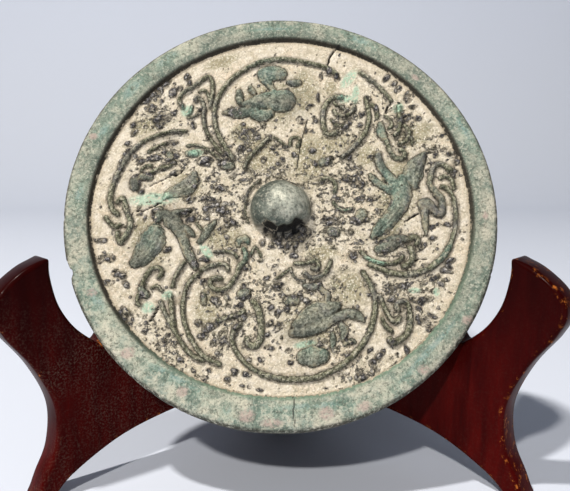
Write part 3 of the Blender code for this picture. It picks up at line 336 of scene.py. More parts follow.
PATCHES = {                    # stains and crusts: centre, half length, half width, turn in degrees
    "smooth earth": [(-1, 46.2, 17, 2.6, 0), (-32, 35, 3, 12, 50), (-12, 37, 3.4, 4.5, -30),
        (8, 38, 5, 3, -10), (-28, 6.6, 6, 1.8, 28), (-41, 8, 2, 6, 12), (41.6, -6, 3, 7, -20),
        (-20.5, -27, 2.6, 9, 5), (0, -40, 11, 2.2, 0), (-5, -8.6, 6, 3.4, -10),
        (45.6, -14, 1.6, 10, -28), (24, -27, 2, 6, 0), (33, 33, 2, 9, 45), (-27, -10, 3, 4, 20),
        (-37, -6.6, 2, 3, 0), (-40, -16, 4, 3, 30), (-12.6, 30, 2.4, 6, 0)],
    "grainy": [(0, 0, 15, 13, 0), (18, 24.5, 4.4, 5, 0), (-8, 19, 5, 4, 0), (19, 2, 6, 11, 0),
        (13, -6, 5, 5, 0), (0, -23, 14, 6, 0), (-9, -30, 3, 7, 0), (-18, 4, 5, 8, 0),
        (-32, 12, 7, 4, 15), (31, 23, 4, 8, 15), (30, -24, 7, 6, 0), (36, -20, 6, 4, -40),
        (-32, 28, 5, 7, 30), (-14, -34, 3.4, 6, 0), (-26, -38, 3, 9, 50), (20, -41, 7, 3, 30),
        (40, 15, 3, 5, 0), (12, -34, 4, 4, 0), (-16, 14, 4, 5, 30), (26, -2, 4, 8, 0),
        (28, -9, 5, 3, 0)],
    "verdigris": [(-33, 2.4, 6.5, 1.9, 4), (18.6, 37, 1.4, 3.6, -38), (20.4, 32.4, 1, 3, -8),
        (-18.6, -11.6, 2.6, 1.2, -50), (-32.6, -26, 1.8, 1.6, 0), (31.6, 28, 1.6, 1.4, 0),
        (-25, 27.4, 1.8, 1.8, 0), (17.6, 31, 2.4, 1.2, 10), (-28, -22.8, 1.6, 1.2, 20),
        (-22, 15.4, 1.8, 1.2, 0), (32.2, 28.4, 1, 1.6, 0), (39, -22, 0.9, 1.2, 0),
        (24, -14.2, 3, 0.8, -20), (33.6, -21.6, 1.6, 0.8, 0), (6.2, -35, 3, 0.9, 10)],
    "olive": [(6.4, 33, 4, 6, 0), (-2.4, 30, 8, 6, 0), (17.5, -21, 4.6, 4, -30), (-33.6, -9, 4, 7, 25),
        (-14, -8, 6, 3, -8), (30.6, 5, 5, 9, -10), (23, 14.6, 3, 3, 0), (36, 20.6, 5, 3, 30),
        (9, -29.5, 8, 5, 20), (8, 14, 5, 7, -10), (-5.4, 15, 5, 5, 30), (-10, 21, 3, 3, 0),
        (-36, 23, 4, 2.4, 20), (-16, 42, 5, 1.4, 22), (10.4, -12, 4, 2, 0), (-24.4, 6, 4, 4, 0),
        (28, -4, 3, 6, -20), (-18, -26, 3, 5, 0), (13.8, 18.4, 5, 3, 0), (13.6, 34.4, 1.6, 2, 0)],
    "teal": [(-3, 38.6, 4, 3, 0), (-5.6, 27, 4.6, 1.6, 0), (-1, 33, 4, 1.8, 0), (30, 5, 3, 6, -20),
        (17, 0, 2, 1.5, 0), (27, 7.6, 2, 4, -20), (-23.6, 15.4, 1.6, 1.4, 0), (-34, -7, 3, 4, 20),
        (26, -6, 2, 4, -30), (-8.6, -12, 1.4, 4, 0), (9, -36, 3, 2, 0), (18, 3, 3, 3, 0),
        (26.8, 20, 2, 2, 0), (42, -12, 3, 2, 40)],
    "rim_teal": [(-40, 34, 7, 2.6, 52), (-31, 43, 6, 2.2, 38), (-47, 21, 5, 2, 68),
        (-51.5, 4, 5, 2.4, 85), (22, 48.6, 8, 2, -25), (36, -36, 20, 1.6, 47), (-45, -24, 6, 2.4, -60),
        (-12.6, -50.6, 1.9, 1.9, 0), (-26, -43, 12, 1.2, -30), (48.6, 22, 7, 1.8, -65),
        (-2, 52, 9, 1.6, 0), (8, -50, 14, 1.2, 6)],
    "rim_dark": [(-30, 40, 26, 9, 42), (-49, 10, 14, 5, 78), (0, 50.4, 26, 3, 0), (33, 40, 14, 4, -45),
        (51, 2, 3, 16, 0), (44, -30, 5, 14, -36), (-17, 50, 2.4, 1.6, 15), (-36, 38, 16, 5, 46)],
    "blush": [(-37, -37, 1.7, 1.5, 0), (-23.4, -46.4, 1.5, 1.1, 0), (36, 37, 1.3, 1.2, 0),
        (52, -2, 1.1, 1.1, 0), (34.4, -41, 1.6, 1.2, 0), (20, -49.6, 2, 1.2, 20),
        (-2, -53.6, 3, 0.9, 0), (-46.6, -22, 1.4, 1.2, 0), (46, -29, 1.5, 1.2, 0),
        (11, -51.4, 2, 1.4, 0), (-8, -52, 2, 1.3, 0), (-49.5, 20, 1.3, 1, 0)],
    # dark stains, and painted shade on the lower sides of bodies and under the knob
    "dark_stain_and_painted_shade": [(-36, -13.4, 2.4, 2, 50), (-27, -4, 3, 2.4, -50), (4.4, -31.6, 3, 1.5, 15),
        (-10, 27.4, 4, 1.4, 0), (-34.6, -8, 1.4, 3, -10), (-28.6, 18.2, 1.6, 1.6, 0),
        (2.4, 30, 3, 3.4, 0), (-27.6, -2, 4, 3, -30), (28.6, -9, 4, 2.6, 0), (6, -6.8, 3, 1.6, 30),
        (-38, 6.8, 2, 2, 0), (5, -33, 4, 1.4, 0), (39.5, 1, 2.4, 2.6, 0)],
}

# ---- board outline in mm: distance from the crossing line, and height ----------
HORN = [(62.1, 36.9), (67.7, 41.6), (71.6, 47.6), (73.4, 54.2), (73.9, 59.8)]
HEAD = [(73.9, 59.8), (79.8, 57.4), (85.8, 52.4), (FRONT_REACH, 47.0), (84.6, 41.6)]
FRONT_WAIST = [(84.6, 41.6), (78.4, 33.2), (73.9, 22.8), (74.4, 12.6), (77.6, 5.4), (79.7, 0)]
FRONT_SOLE = [(79.7, 0), (75.3, 0)]
FRONT_ARCH = [(75.3, 0), (69.7, 4.9), (57, 11.0), (43, 14.2), (30, 15.2), (18, 13.2), (9, 4.6), (7, 1)]
HEEL = [(7, 1), (-7, 1)]
REAR_ARCH = [(-7, 1), (-9, 4.6), (-17, 12.2), (-29, 14.6), (-42, 11.4), (-54, 4.6), (-58.5, 0)]
REAR_SOLE = [(-58.5, 0), (-REAR_REACH, 0)]
REAR_WAIST = [(-REAR_REACH, 0), (-59.6, 7.4), (-47, 17.6), (-30, 28.6), (-12, 43), (2, 59), (10, 74.6)]
CREST = [(10, 74.6), (12.2, 82.6), (17.6, 88.6), (24.4, 88.8)]
REST_ALONG = (61.4, 31.4)      # where the straight edge behind the mirror starts and ends
ABOVE_ALL, BELOW_ALL = 200, -20    # heights clear of the boards

LAYERS = 6
RANDOM = np.random.default_rng(7).random((LAYERS, 256, 256))


# ---- arrays: lines, noise and grains --------------------------------------------

def smooth_line(points, step):
    """A Catmull-Rom curve through the points, cut into pieces no longer than step. From b to c, with
    a before and d after, it is half of 2b + (c-a)t + (2a-5b+4c-d)t^2 + (3b-a-3c+d)t^3."""
    pts = [np.array(p, dtype=float) for p in points]
    pts = [2 * pts[0] - pts[1]] + pts + [2 * pts[-1] - pts[-2]]
    line = [pts[1]]
    for a, b, c, d in zip(pts, pts[1:], pts[2:], pts[3:]):
        pieces = max(1, int(np.ceil(np.linalg.norm(c - b) / step)))
        for t in np.arange(1, pieces + 1) / pieces:
            line.append(0.5 * (2 * b + (c - a) * t + (2 * a - 5 * b + 4 * c - d) * t ** 2
                               + (3 * b - a - 3 * c + d) * t ** 3))
    return np.array(line)


def ease(low, high, value):
    """0 below low, 1 above high, and the smooth curve 3t^2 - 2t^3 between."""
    t = np.clip((value - low) / (high - low), 0, 1)
    return t * t * (3 - 2 * t)


def lattice(layer, i, j):
    """The random number from 0 to 1 at corner (i, j) of a layer's grid, which repeats."""
    return RANDOM[layer, i % 256, j % 256]


def noise(x, y, size, layer=0):
    """Value noise from -1 to 1: random heights at the corners of squares, eased between them."""
    x, y = x / size, y / size
    i, j = np.floor(x).astype(int), np.floor(y).astype(int)
    u, v = ease(0, 1, x - i), ease(0, 1, y - j)
    low = lattice(layer, i, j) * (1 - u) + lattice(layer, i + 1, j) * u
    high = lattice(layer, i, j + 1) * (1 - u) + lattice(layer, i + 1, j + 1) * u
    return 2 * (low * (1 - v) + high * v) - 1


def cloud(x, y, size, octaves=4, layer=0):
    """Octaves of noise summed, each half as large and half as strong as the last. Each is turned
    37 degrees and shifted from the last, so that their squares don't line up."""
    c, s, shift_x, shift_y, full = cos(0.65), sin(0.65), 17.3, -9.1, 1.9
    total, strength = 0.0, 1.0
    for step in range(octaves):
        total = total + strength * noise(x, y, size, (layer + step) % LAYERS)
        x, y = x * c - y * s + shift_x, x * s + y * c + shift_y
        size, strength = size / 2, strength / 2
    return total / full


def grains(x, y, cell, small, large, share):
    """Rounded grains, at most one to a square cell, each an ellipse of random size and turn.
    share(x, y) is the part of the cells that hold one. A point w inside the outline of a grain of
    radius r has the height of a sphere, the root of 2rw - w^2. Gives the height, and how far inside
    an outline a point lies, which is negative outside."""
    top, inside = np.zeros_like(x), np.full_like(x, -1.0)
    ci, cj = np.floor(x / cell).astype(int), np.floor(y / cell).astype(int)
    for di in (-1, 0, 1):
        for dj in (-1, 0, 1):
            i, j = ci + di, cj + dj
            gx = (i + 0.5 + 0.8 * (lattice(0, i, j) - 0.5)) * cell
            gy = (j + 0.5 + 0.8 * (lattice(1, i, j) - 0.5)) * cell
            radius = small + (large - small) * lattice(2, i, j) ** 1.5
            turn = 2 * pi * lattice(4, i, j)
            narrow = 0.6 + 0.4 * lattice(5, i, j)
            along = (x - gx) * np.cos(turn) + (y - gy) * np.sin(turn)
            across = ((y - gy) * np.cos(turn) - (x - gx) * np.sin(turn)) / narrow
            within = np.where(lattice(3, i, j) < share(gx, gy), radius - np.hypot(along, across), -1)
            inside = np.maximum(inside, within)
            top = np.maximum(top, np.sqrt(np.maximum(2 * radius * within - within ** 2, 0) * (within > 0)))
    return top, inside


def ellipse(x, y, middle_x, middle_y, half_length, half_width, turn):
    """Distance from the middle as a share of the ellipse's own radius that way."""
    c, s = cos(radians(turn)), sin(radians(turn))
    along = ((x - middle_x) * c + (y - middle_y) * s) / half_length
    across = ((y - middle_y) * c - (x - middle_x) * s) / half_width
    return np.hypot(along, across)


def patch(x, y, name):
    """How much a point lies in the stains of that name: exp(-0.7 q^2), with q the distance in the
    ellipse's own radii, which is 1 at a centre and a half at the edge."""
    most = np.zeros_like(x)
    for place in PATCHES[name]:
        most = np.maximum(most, np.exp(-0.7 * ellipse(x, y, *place) ** 2))
    return most


def beside(x, y, line):
    """For each point the nearest place on a line: how far off it is, with a sign for the side,
    and how far along the line that place is, from 0 to 1."""
    a, d = line[:-1], np.diff(line, axis=0)
    length = np.linalg.norm(d, axis=1)
    rel_x, rel_y = x[:, None] - a[:, 0], y[:, None] - a[:, 1]
    t = np.clip((rel_x * d[:, 0] + rel_y * d[:, 1]) / length ** 2, 0, 1)
    off_x, off_y = rel_x - t * d[:, 0], rel_y - t * d[:, 1]
    away = np.hypot(off_x, off_y)
    row, best = np.arange(len(x)), away.argmin(1)
    side = np.sign(d[best, 0] * off_y[row, best] - d[best, 1] * off_x[row, best])
    start = np.concatenate([[0], np.cumsum(length)])
    return away[row, best] * side, (start[best] + t[row, best] * length[best]) / start[-1]


def close_to(x, y, line, reach):
    """Indices of the points inside the line's box, grown by reach."""
    low, high = line.min(0) - reach, line.max(0) + reach
    return np.nonzero((x > low[0]) & (x < high[0]) & (y > low[1]) & (y < high[1]))[0]


def blurred(grid, reach):
    """Mean over a square of 2 * reach + 1 cells, worked out from running sums along both sides."""
    for axis in (0, 1):
        wide = np.pad(grid, [(reach + 1, reach) if a == axis else (0, 0) for a in (0, 1)], mode="edge")
        run = np.cumsum(wide, axis=axis)
        ends = np.split(run, [2 * reach + 1], axis=axis)[1]
        starts = np.split(run, [run.shape[axis] - 2 * reach - 1], axis=axis)[0]
        grid = (ends - starts) / (2 * reach + 1)
    return grid


def grid_faces(index):
    """Four-cornered faces between the neighbours in a grid of point numbers."""
    corners = [index[:-1, :-1], index[1:, :-1], index[1:, 1:], index[:-1, 1:]]
    return np.stack(corners, -1).reshape(-1, 4)


def ring_faces(index):
    """The same where each row of the grid is a closed ring."""
    return grid_faces(np.concatenate([index, index[:, :1]], 1))


def fan_faces(ring, tip):
    """Three-cornered faces that close a ring of point numbers with one point."""
    return np.stack([ring, np.full(len(ring), tip), np.roll(ring, -1)], -1)


# ---- the mirror's relief ----------------------------------------------------------

def cast_ornament(x, y):
    """Height of the cast ornament above the field: the highest of ridges with a round top and
    bodies whose width changes along a spine. Across, a ridge is half an ellipse and a body the
    flatter arch (1 - t^2) ^ 0.75, grooved by a cosine where it has barbs. Beside it, how far inside
    the ornament's outline, and inside a body's, a point lies, which is negative outside."""
    height, inside, in_body = np.zeros_like(x), np.full_like(x, -1.0), np.full_like(x, -1.0)
    broad, fine = 0.95 + 0.16 * cloud(x, y, 5.0, 2, 2), 0.14 * cloud(x, y, 1.3, 2, 5)
    step, swell, body_swell, groove_depth = 0.7, 0.1, 0.18, 0.4

    def keep(near, rise, rough, within):
        """Raises points to a form of that height, roughened, and keeps how far inside it they lie."""
        height[near] = np.maximum(height[near], rise * (broad[near] + rough * fine[near]))
        inside[near] = np.maximum(inside[near], within)

    for rise, strokes in ((RIDGE_HEIGHT, RIDGES), (CURL_HEIGHT, CURLS)):
        for half_width, points in strokes:
            line = smooth_line(points, step)
            near = close_to(x, y, line, 2)
            off, _ = beside(x[near], y[near], line)
            half = (half_width + swell) * (1 + 0.28 * cloud(x[near], y[near], 1.6, 2, 3))
            keep(near, rise * np.sqrt(np.clip(1 - (off / half) ** 2, 0, 1)), 1.0, half - abs(off))
    for rise, barbs, points in BODIES:
        spine = smooth_line(points, step)
        near = close_to(x, y, spine[:, :2], spine[:, 2].max() + 0.6)
        off, along = beside(x[near], y[near], spine[:, :2])
        run = np.concatenate([[0], np.cumsum(np.hypot(*np.diff(spine[:, :2], axis=0).T))])
        half = np.interp(along, run / run[-1], spine[:, 2] + body_swell)
        half = half * (1 + 0.12 * cloud(x[near], y[near], 1.7, 2, 1))
        ratio = np.clip(off / half, -1, 1)
        top = (1 - ratio ** 2) ** 0.75
        groove = groove_depth * (0.5 - 0.5 * np.cos(2 * pi * barbs * ratio)) * ease(0.05, 0.4, top)
        keep(near, rise * top * ease(-0.4, 1.0, half) - groove, 0.4, half - abs(off))
        in_body[near] = np.maximum(in_body[near], half - abs(off))
    return height, inside, in_body


def clumps(x, y, wx, wy, knobs):
    """Height of the crust's clumps and how far inside one a point lies, in mm. A clump is a ragged
    ellipse under a low dome, the root of 1.15 - q^2 with q the distance in its own radii, and it
    is broken into knobs. Its outline sways with a broad pattern and frays with a fine one."""
    height, in_clump = np.zeros_like(x), np.full_like(x, -1.0)
    broad_x, broad_y = wx + 0.9 * cloud(x, y, 4, 2, 4), wy + 0.9 * cloud(x, y, 4, 2, 5)
    for cx, cy, half_length, half_width, turn in CLUMPS:
        near = np.nonzero(np.hypot(x - cx, y - cy) < half_length + 2.4)[0]
        half_width = max(half_width, 0.6 * half_length)
        rho = ellipse(broad_x[near], broad_y[near], cx, cy, half_length, half_width, turn)
        rho = rho + 0.32 * cloud(x[near], y[near], 1.0, 2, 9)
        dome = np.sqrt(np.clip(1.15 - rho ** 2, 0, 1)) * (0.35 + 0.3 * min(half_width, 1.4))
        height[near] = np.maximum(height[near], dome * (0.35 + 1.3 * knobs[near]))
        in_clump[near] = np.maximum(in_clump[near], (1 - rho) * min(half_width, half_length))
    return height, in_clump


def crust(x, y, in_ornament):
    """Height of the corrosion crust, how far inside its outline a point lies, how far inside a clump,
    and how sandy the ground is. Clumps lie in their places; loose grains of two sizes and thin
    veins, where a cloudy field crosses zero, are strewn between them, thicker on grainy ground."""
    wx, wy = x + 0.5 * cloud(x, y, 1.6, 2, 2), y + 0.5 * cloud(x, y, 1.6, 2, 3)
    knobs, in_knob = grains(wx - 33, wy + 21, 1.6, 0.55, 1.1, lambda gx, gy: np.full_like(gx, 0.93))
    height, in_clump = clumps(x, y, wx, wy, knobs)
    off_ornament = 1.5 * ease(0.3, 0.7, in_ornament)
    inside = np.minimum(in_clump * 1.3, in_knob + 0.12) - 0.25 * ease(0.1, 0.9, in_ornament)

    bare = 1 - patch(x, y, "smooth earth")
    sandy = np.clip(0.3 + 0.8 * patch(x, y, "grainy") + 0.45 * cloud(x, y, 5, 2, 6), 0, 1) * bare

    def share_large(gx, gy):
        """Part of the cells with a large grain: a cloudy pattern, most on grainy ground."""
        rough = 0.36 * patch(gx, gy, "grainy") + 0.14 * cloud(gx, gy, 9, 2, 5)
        return rough * (1 - 0.95 * patch(gx, gy, "smooth earth"))

    def share_small(gx, gy):
        """The same for small grains, which are a little more even."""
        gx, gy = gx - 40, gy - 40
        rough = 0.08 + 0.36 * patch(gx, gy, "grainy") + 0.22 * cloud(gx, gy, 6, 2, 2)
        return rough * (1 - 0.85 * patch(gx, gy, "smooth earth"))

    winding = abs(cloud(x, y, 2.6, 3, 11))
    gate = sandy + 0.5 * cloud(x, y, 3.5, 2, 12)
    in_vein = np.minimum(1.5 * (0.05 - winding), 0.8 * (gate - 0.75)) - off_ornament
    vein = 0.5 * np.sqrt(np.clip(in_vein / 0.18, 0, 1)) * (0.7 + 0.5 * knobs)
    large, in_large = grains(wx, wy, 2.1, 0.42, 0.9, share_large)
    small, in_small = grains(wx + 40, wy + 40, 1.15, 0.24, 0.5, share_small)
    loose = np.maximum(0.85 * large * (0.7 + 0.6 * knobs), 0.9 * small) * ease(0.7, 0.3, in_ornament)
    in_loose = np.maximum(in_large, in_small) - off_ornament
    loose, in_loose = np.maximum(loose, vein), np.maximum(in_loose, in_vein)
    return np.maximum(height, loose), np.maximum(inside, in_loose), in_clump, sandy


def gnawed_side(angle):
    """1 on the lower side of the knob, where its foot is eaten away, easing to 0 on either side."""
    degrees = np.degrees(angle) % 360
    return ease(212, 236, degrees) * ease(348, 318, degrees)


def crack_depth(x, y):
    """Depth of the cracks: each is full depth within 0.3 of its half width from its line and eases
    to nothing at its half width. Fine noise shakes the line."""
    depth = np.zeros_like(x)
    for half_width, deep, points in CRACKS:
        line = smooth_line(points, 0.5)
        near = close_to(x, y, line, 1)
        off, _ = beside(x[near], y[near] + 0.4 * noise(x[near], y[near], 0.8, 1), line)
        depth[near] = np.maximum(depth[near], deep * (1 - ease(0.3, 1, abs(off) / half_width)))
    return depth


def field_surface(x, y):
    """Height over the field and what shows there. The metal is the higher of ornament and crust,
    with a third of the lower; earth lies in its hollows at an uneven level, sunk beside the metal
    and pitted, and whichever is higher is the surface. Cracks are taken off, and earth is banked
    against the wall."""
    radius, angle = np.hypot(x, y), np.arctan2(y, x)
    foot = KNOB_FOOT - 0.3 * gnawed_side(angle)
    inside = ease(foot, foot + 0.6, radius) * ease(*FIELD_RELIEF, radius)
    facing = np.cos(angle - SUNNY_SIDE)
    rise, fall = EARTH_BANK
    banked = 0.3 * ease(0.3, 1.0, facing) * ease(*rise, radius) * ease(*fall, radius)
    sunny = ease(0.2, 1.0, facing)
    shaded = 0.25 + 0.75 * ease(-0.3, 0.8, np.cos(angle - SHADED_SIDE))
    on_rim = {name: patch(x, y, name) for name in ("rim_teal", "rim_dark", "blush")}

    x, y = (x - RELIEF_SHIFT[0]) / RELIEF_SCALE[0], (y - RELIEF_SHIFT[1]) / RELIEF_SCALE[1]
    ornament, in_ornament, in_body = cast_ornament(x, y)
    grain, in_grain, in_clump, sandy = crust(x, y, in_ornament)
    grain = grain * (1 - 0.6 * ease(0.25, 0.8, ornament))
    metal = np.maximum(ornament, grain) + 0.35 * np.minimum(ornament, grain)
    metal = metal + 0.06 * cloud(x, y, 1.2, 3, 4)
    in_metal = np.maximum(in_ornament, in_grain)
    beside_metal = np.exp(-((in_metal + 0.22) / 0.25) ** 2)
    earth = 0.15 + 0.09 * cloud(x, y, 7, 2, 1) + 0.08 * cloud(x, y, 1.7, 3, 3) - 0.14 * beside_metal
    earth = earth + 0.24 * sandy * cloud(x, y, 1.5, 2, 8)
    pits, in_pit = grains(x + 90, y - 70, 1.4, 0.16, 0.42,
                          lambda gx, gy: 0.1 + 0.45 * patch(gx - 90, gy + 70, "grainy"))
    earth = earth - 0.6 * pits
    cracks = crack_depth(x, y)
    surface = np.maximum(metal * ease(-0.15, 0.1, in_metal), earth) - cracks
    shown = {
        # the wall's dark foot starts 0.3 mm further in on the side turned from the light: a painted shadow of
        # the wall on the field
        "wall_foot_and_painted_shade": np.clip(radius - 48.2 - 0.3 * sunny + 0.3 * cloud(x, y, 2.2, 3, 1), -1, 1),
        "sunny": sunny,
        "shoulder": shaded * ease(*RIM_SHOULDER, radius + 0.4 * cloud(x, y, 3, 2, 7)),
        "body": np.where(inside > 0.4, in_body, -1),
        "clump": ease(-0.25, 0.05, in_clump) * inside,
        "sandy": sandy * inside,
        "ornament": np.where(inside > 0.4, in_ornament, -1),
        "crust": np.where(inside > 0.2, in_grain, -1),
        "pit": np.where(inside > 0.4, in_pit, -1),
        "crack_and_painted_shade": ease(0.05, 0.5, cracks),
    }
    for name in ("verdigris", "olive", "dark_stain_and_painted_shade", "teal"):
        shown[name] = patch(x, y, name) * inside
    return surface * inside + banked, shown | on_rim


# ---- the mirror's surface ------------------------------------------------------------

def turned_stations():
    """The disc's profile from the knob's top to its outer edge, as radii and heights. Each stretch
    is a list of radii, one of heights, and the number of equal steps it is cut into. The knob and
    the outer corner are quarter circles drawn out. Height 0 is the rim's flat top."""
    field, inner = -FIELD_DEPTH, DISC_RADIUS - RIM_BAND
    dome = np.radians(np.linspace(0, 88, 21))
    corner = np.radians(np.linspace(0, 90, 6))
    stretches = [
        # the knob's dome and its foot
        (KNOB_RADIUS * 0.93 * np.sin(dome), field + KNOB_HEIGHT * (1 - (1 - np.cos(dome)) * 0.86), 20),
        ([KNOB_RADIUS * 0.93, KNOB_RADIUS * 0.97, KNOB_RADIUS * 1.06], [-0.61, field + 0.49, field], 4),
        # the field, and the wall that rises from it over a soft shoulder
        ([KNOB_RADIUS * 1.06, inner - 0.2], [field, field], 110),
        ([inner - 0.2, inner + 0.05, inner + 0.3, inner + 0.6, inner + 1.1, inner + 1.8, inner + 2.6],
         [field, -1.35, -0.85, -0.45, -0.18, -0.05, 0], 8),
        # the flat rim and its outer corner
        ([inner + 2.6, DISC_RADIUS - EDGE_ROUND], [0, 0], 3),
        (DISC_RADIUS - EDGE_ROUND * (1 - np.sin(corner)), -EDGE_ROUND * (1 - np.cos(corner)), 4),
    ]
    radius, height = [np.zeros(1)], [np.full(1, field + KNOB_HEIGHT)]
    for r, h, rings in stretches:
        r, h = np.array(r, dtype=float), np.array(h, dtype=float)
        run = np.concatenate([[0], np.cumsum(np.hypot(np.diff(r), np.diff(h)))])
        places = np.linspace(0, run[-1], rings + 1)[1:]
        radius.append(np.interp(places, run, r))
        height.append(np.interp(places, run, h))
    return np.concatenate(radius), np.concatenate(height)


def wrapped_square(rings):
    """The ring and the angle of each point of a square grid whose concentric squares become
    circles. The ring is the larger of |i| and |j|; the angle is 45 degrees * (smaller / larger)
    from the middle of the side that the point is on."""
    i, j = np.meshgrid(np.arange(-rings, rings + 1), np.arange(-rings, rings + 1), indexing="ij")
    ring = np.maximum(abs(i), abs(j))
    safe = np.maximum(ring, 1)
    right, upper = np.where(i >= 0, 1, -1), np.where(j >= 0, 1, -1)
    beside_x = np.where(i >= 0, 0, pi) + pi / 4 * j * right / safe
    beside_y = np.where(j >= 0, pi / 2, -pi / 2) - pi / 4 * i * upper / safe
    return ring, np.where(abs(i) >= abs(j), beside_x, beside_y)


def outer_square(rings):
    """Grid places of the outermost square, once round it."""
    far = np.full(2 * rings, 2 * rings)
    near, onward, back = far * 0, np.arange(2 * rings), np.arange(2 * rings, 0, -1)
    sides = ((far, onward), (back, far), (near, back), (onward, near))
    return tuple(np.concatenate([side[axis] for side in sides]) for axis in (0, 1))


def worn(x, y, r, h, angle, lift):
    """The lift after wear and loss: the rim and the knob waver and sit a little low, the knob has
    pits and a foot eaten away below, and the outer edge is nicked, by grains laid along it. Gives
    also how deep the foot is bitten, the nicks, and how much a point is on the rim and the knob."""
    uneven = 0.045 * cloud(x, y, 6, 3, 0) + 0.03 * cloud(x, y, 1.2, 2, 2)
    on_rim = ease(*RIM_SKIN, r)
    on_knob = ease(*KNOB_SKIN, r + 0.4 * gnawed_side(angle))
    lift = lift + (uneven - 0.07) * on_rim + (0.8 * uneven - 0.05) * on_knob
    for px, py, pit_radius, deep in KNOB_PITS:
        lift = lift - deep * ease(pit_radius, 0, np.hypot(x - px, y - py))
    gnawed = gnawed_side(angle) * (1 + 0.3 * cloud(x, y, 1.8, 2, 4))
    bitten = gnawed * ease(5.3, 6.6, r + 0.5 * cloud(x, y, 1.3, 2, 8)) * ease(8.5, 7.9, r)
    lift = lift - 1.9 * bitten
    nick, _ = grains(8 * angle * 7.0, h * 2 + 300, 4.2, 0.5, 1.7, lambda gx, gy: np.full_like(gx, 0.4))
    return lift - (0.26 * nick + 0.1) * ease(*EDGE_WEAR, r), bitten, nick, on_rim, on_knob


def reverse_rings(angle, nick):
    """Rings of points down the edge and over the reflecting side, which bulges as a parabola. The
    ones on the edge are drawn in where it is nicked."""
    # two rings down the edge, one round the corner, and three on the way to the middle
    radii = [DISC_RADIUS - 0.06, DISC_RADIUS - 0.1, DISC_RADIUS - 0.5, 50.0, 36.0, 18.0]
    heights = [-2.8, 0.5 - RIM_THICKNESS, -RIM_THICKNESS]
    heights += [-RIM_THICKNESS - BACK_BULGE * (1 - (b / DISC_RADIUS) ** 2) for b in radii[3:]]
    rings = []
    for b, height in zip(radii, heights):
        inward = b - (0.16 * nick + 0.1) * (0.6 if b > 55 else 0) * abs(np.sin(angle * 9))
        ring = [inward * np.cos(angle), inward * np.sin(angle), np.full(len(angle), height)]
        rings.append(np.stack(ring, -1))
    return rings


def mirror_surface():
    """The front is a square wrapped into a disc: ring k has radius and height from the turned
    profile, and the relief lifts each point along the profile's normal. The wall sways with its
    radius. The edge and the reflecting side go on from the outermost square as rings of the same
    points, down to one point in the middle."""
    radius, height = turned_stations()
    slope_r, slope_h = np.gradient(radius), np.gradient(height)
    size = np.hypot(slope_r, slope_h)
    ring, angle = wrapped_square(len(radius) - 1)
    r, h, normal_r, normal_h = radius[ring], height[ring], (-slope_h / size)[ring], (slope_r / size)[ring]
    x, y = r * np.cos(angle), r * np.sin(angle)

    lift, shown = field_surface(x.ravel(), y.ravel())
    lift, bitten, nick, on_rim, on_knob = worn(x, y, r, h, angle, lift.reshape(x.shape))
    every = np.radians(np.arange(0, 360, 30))
    sway = np.interp(angle, every, WALL_RADII, period=2 * pi) - EVEN_WALL
    inner, outer = WALL_SWAY
    outward = sway * ease(*inner, r) * ease(*outer, r) + lift * normal_r
    x, y, h = x + outward * np.cos(angle), y + outward * np.sin(angle), h + lift * normal_h

    border = outer_square(len(radius) - 1)
    backs = reverse_rings(angle[border], nick[border])
    pole = np.array([[0, 0, -RIM_THICKNESS - BACK_BULGE]])
    front = x.size
    points = np.concatenate([np.stack([x, y, h], -1).reshape(-1, 3)] + backs + [pole])
    index = np.arange(front).reshape(x.shape)
    around = len(border[0])
    loops = front + np.arange(len(backs) * around).reshape(len(backs), around)
    loops = np.concatenate([index[border][None], loops])
    faces = [grid_faces(index), ring_faces(loops), fan_faces(loops[-1], len(points) - 1)]

    # painted shadow, black: where the knob's foot is eaten away, except on the crust's grains, and round the
    # mouths of the cord hole
    shade_under_knob = ease(0.5, 0.75, bitten + 0.35 * cloud(x, y, 0.9, 2, 9)).ravel() * ease(0.15, -0.05, shown["crust"])
    bore = np.hypot(y * cos(HOLE_TURN) - x * sin(HOLE_TURN), h - HOLE_CENTRE) - HOLE_RADIUS
    lip = (ease(0.55, 0.15, bore) * on_knob).ravel()
    shown["crack_and_painted_shade"] = np.maximum(shown["crack_and_painted_shade"], np.maximum(shade_under_knob, 0.85 * lip))
    # darker where the surface lies below its surroundings, round the foot of the relief: dirt and painted
    # shade
    for name, value in (("hollow_dirt_and_painted_shade", ease(0.05, 0.24, blurred(h, 2) - h) * ease(7.3, 8.3, r)),
                        ("rim_edge", ease(*EDGE_GRIME_AND_SHADE, r)), ("rim", on_rim), ("knob", on_knob),
                        ("worn", ease(6.6, 2.6, np.hypot(0.9 * (x - 2.3), y - 1.1)) * on_knob)):
        shown[name] = value.ravel()
    behind = len(points) - front
    masks = {name: np.concatenate([value, np.full(behind, -1.0 if name in DISTANCES else 0.0)])
             for name, value in shown.items()}
    for name in ("rim", "rim_edge"):
        masks[name][front:] = 1
    masks["reverse"] = np.zeros(len(points))
    masks["reverse"][front + 2 * around:] = 1
    return points, faces, masks


def stood_up(points):
    """Points of the mirror, X right, Y up its face and Z out of it, in mm, put in their place in
    metres. Leaning back by the angle a takes them back y sin a - z cos a and up y cos a + z sin a."""
    x, y, z = points.T
    c, s = cos(MIRROR_LEAN), sin(MIRROR_LEAN)
    return (np.stack([x, y * s - z * c, y * c + z * s], -1) + MIRROR_CENTRE) * MM


def mesh_piece(name, points, face_groups, masks, material):
    """A piece from its points in metres, arrays of faces, and one number a point for each mask."""
    mesh = bpy.data.meshes.new(name)
    mesh.from_pydata(points, [], [face for group in face_groups for face in group.tolist()])
    for mask, values in masks.items():
        layer = mesh.attributes.new(mask, "FLOAT", "POINT")
        layer.data.foreach_set("value", values.astype(np.float32))
    mesh.shade_smooth()
    mesh.materials.append(material)
    piece = bpy.data.objects.new(name, mesh)
    bpy.context.scene.collection.objects.link(piece)
    return piece


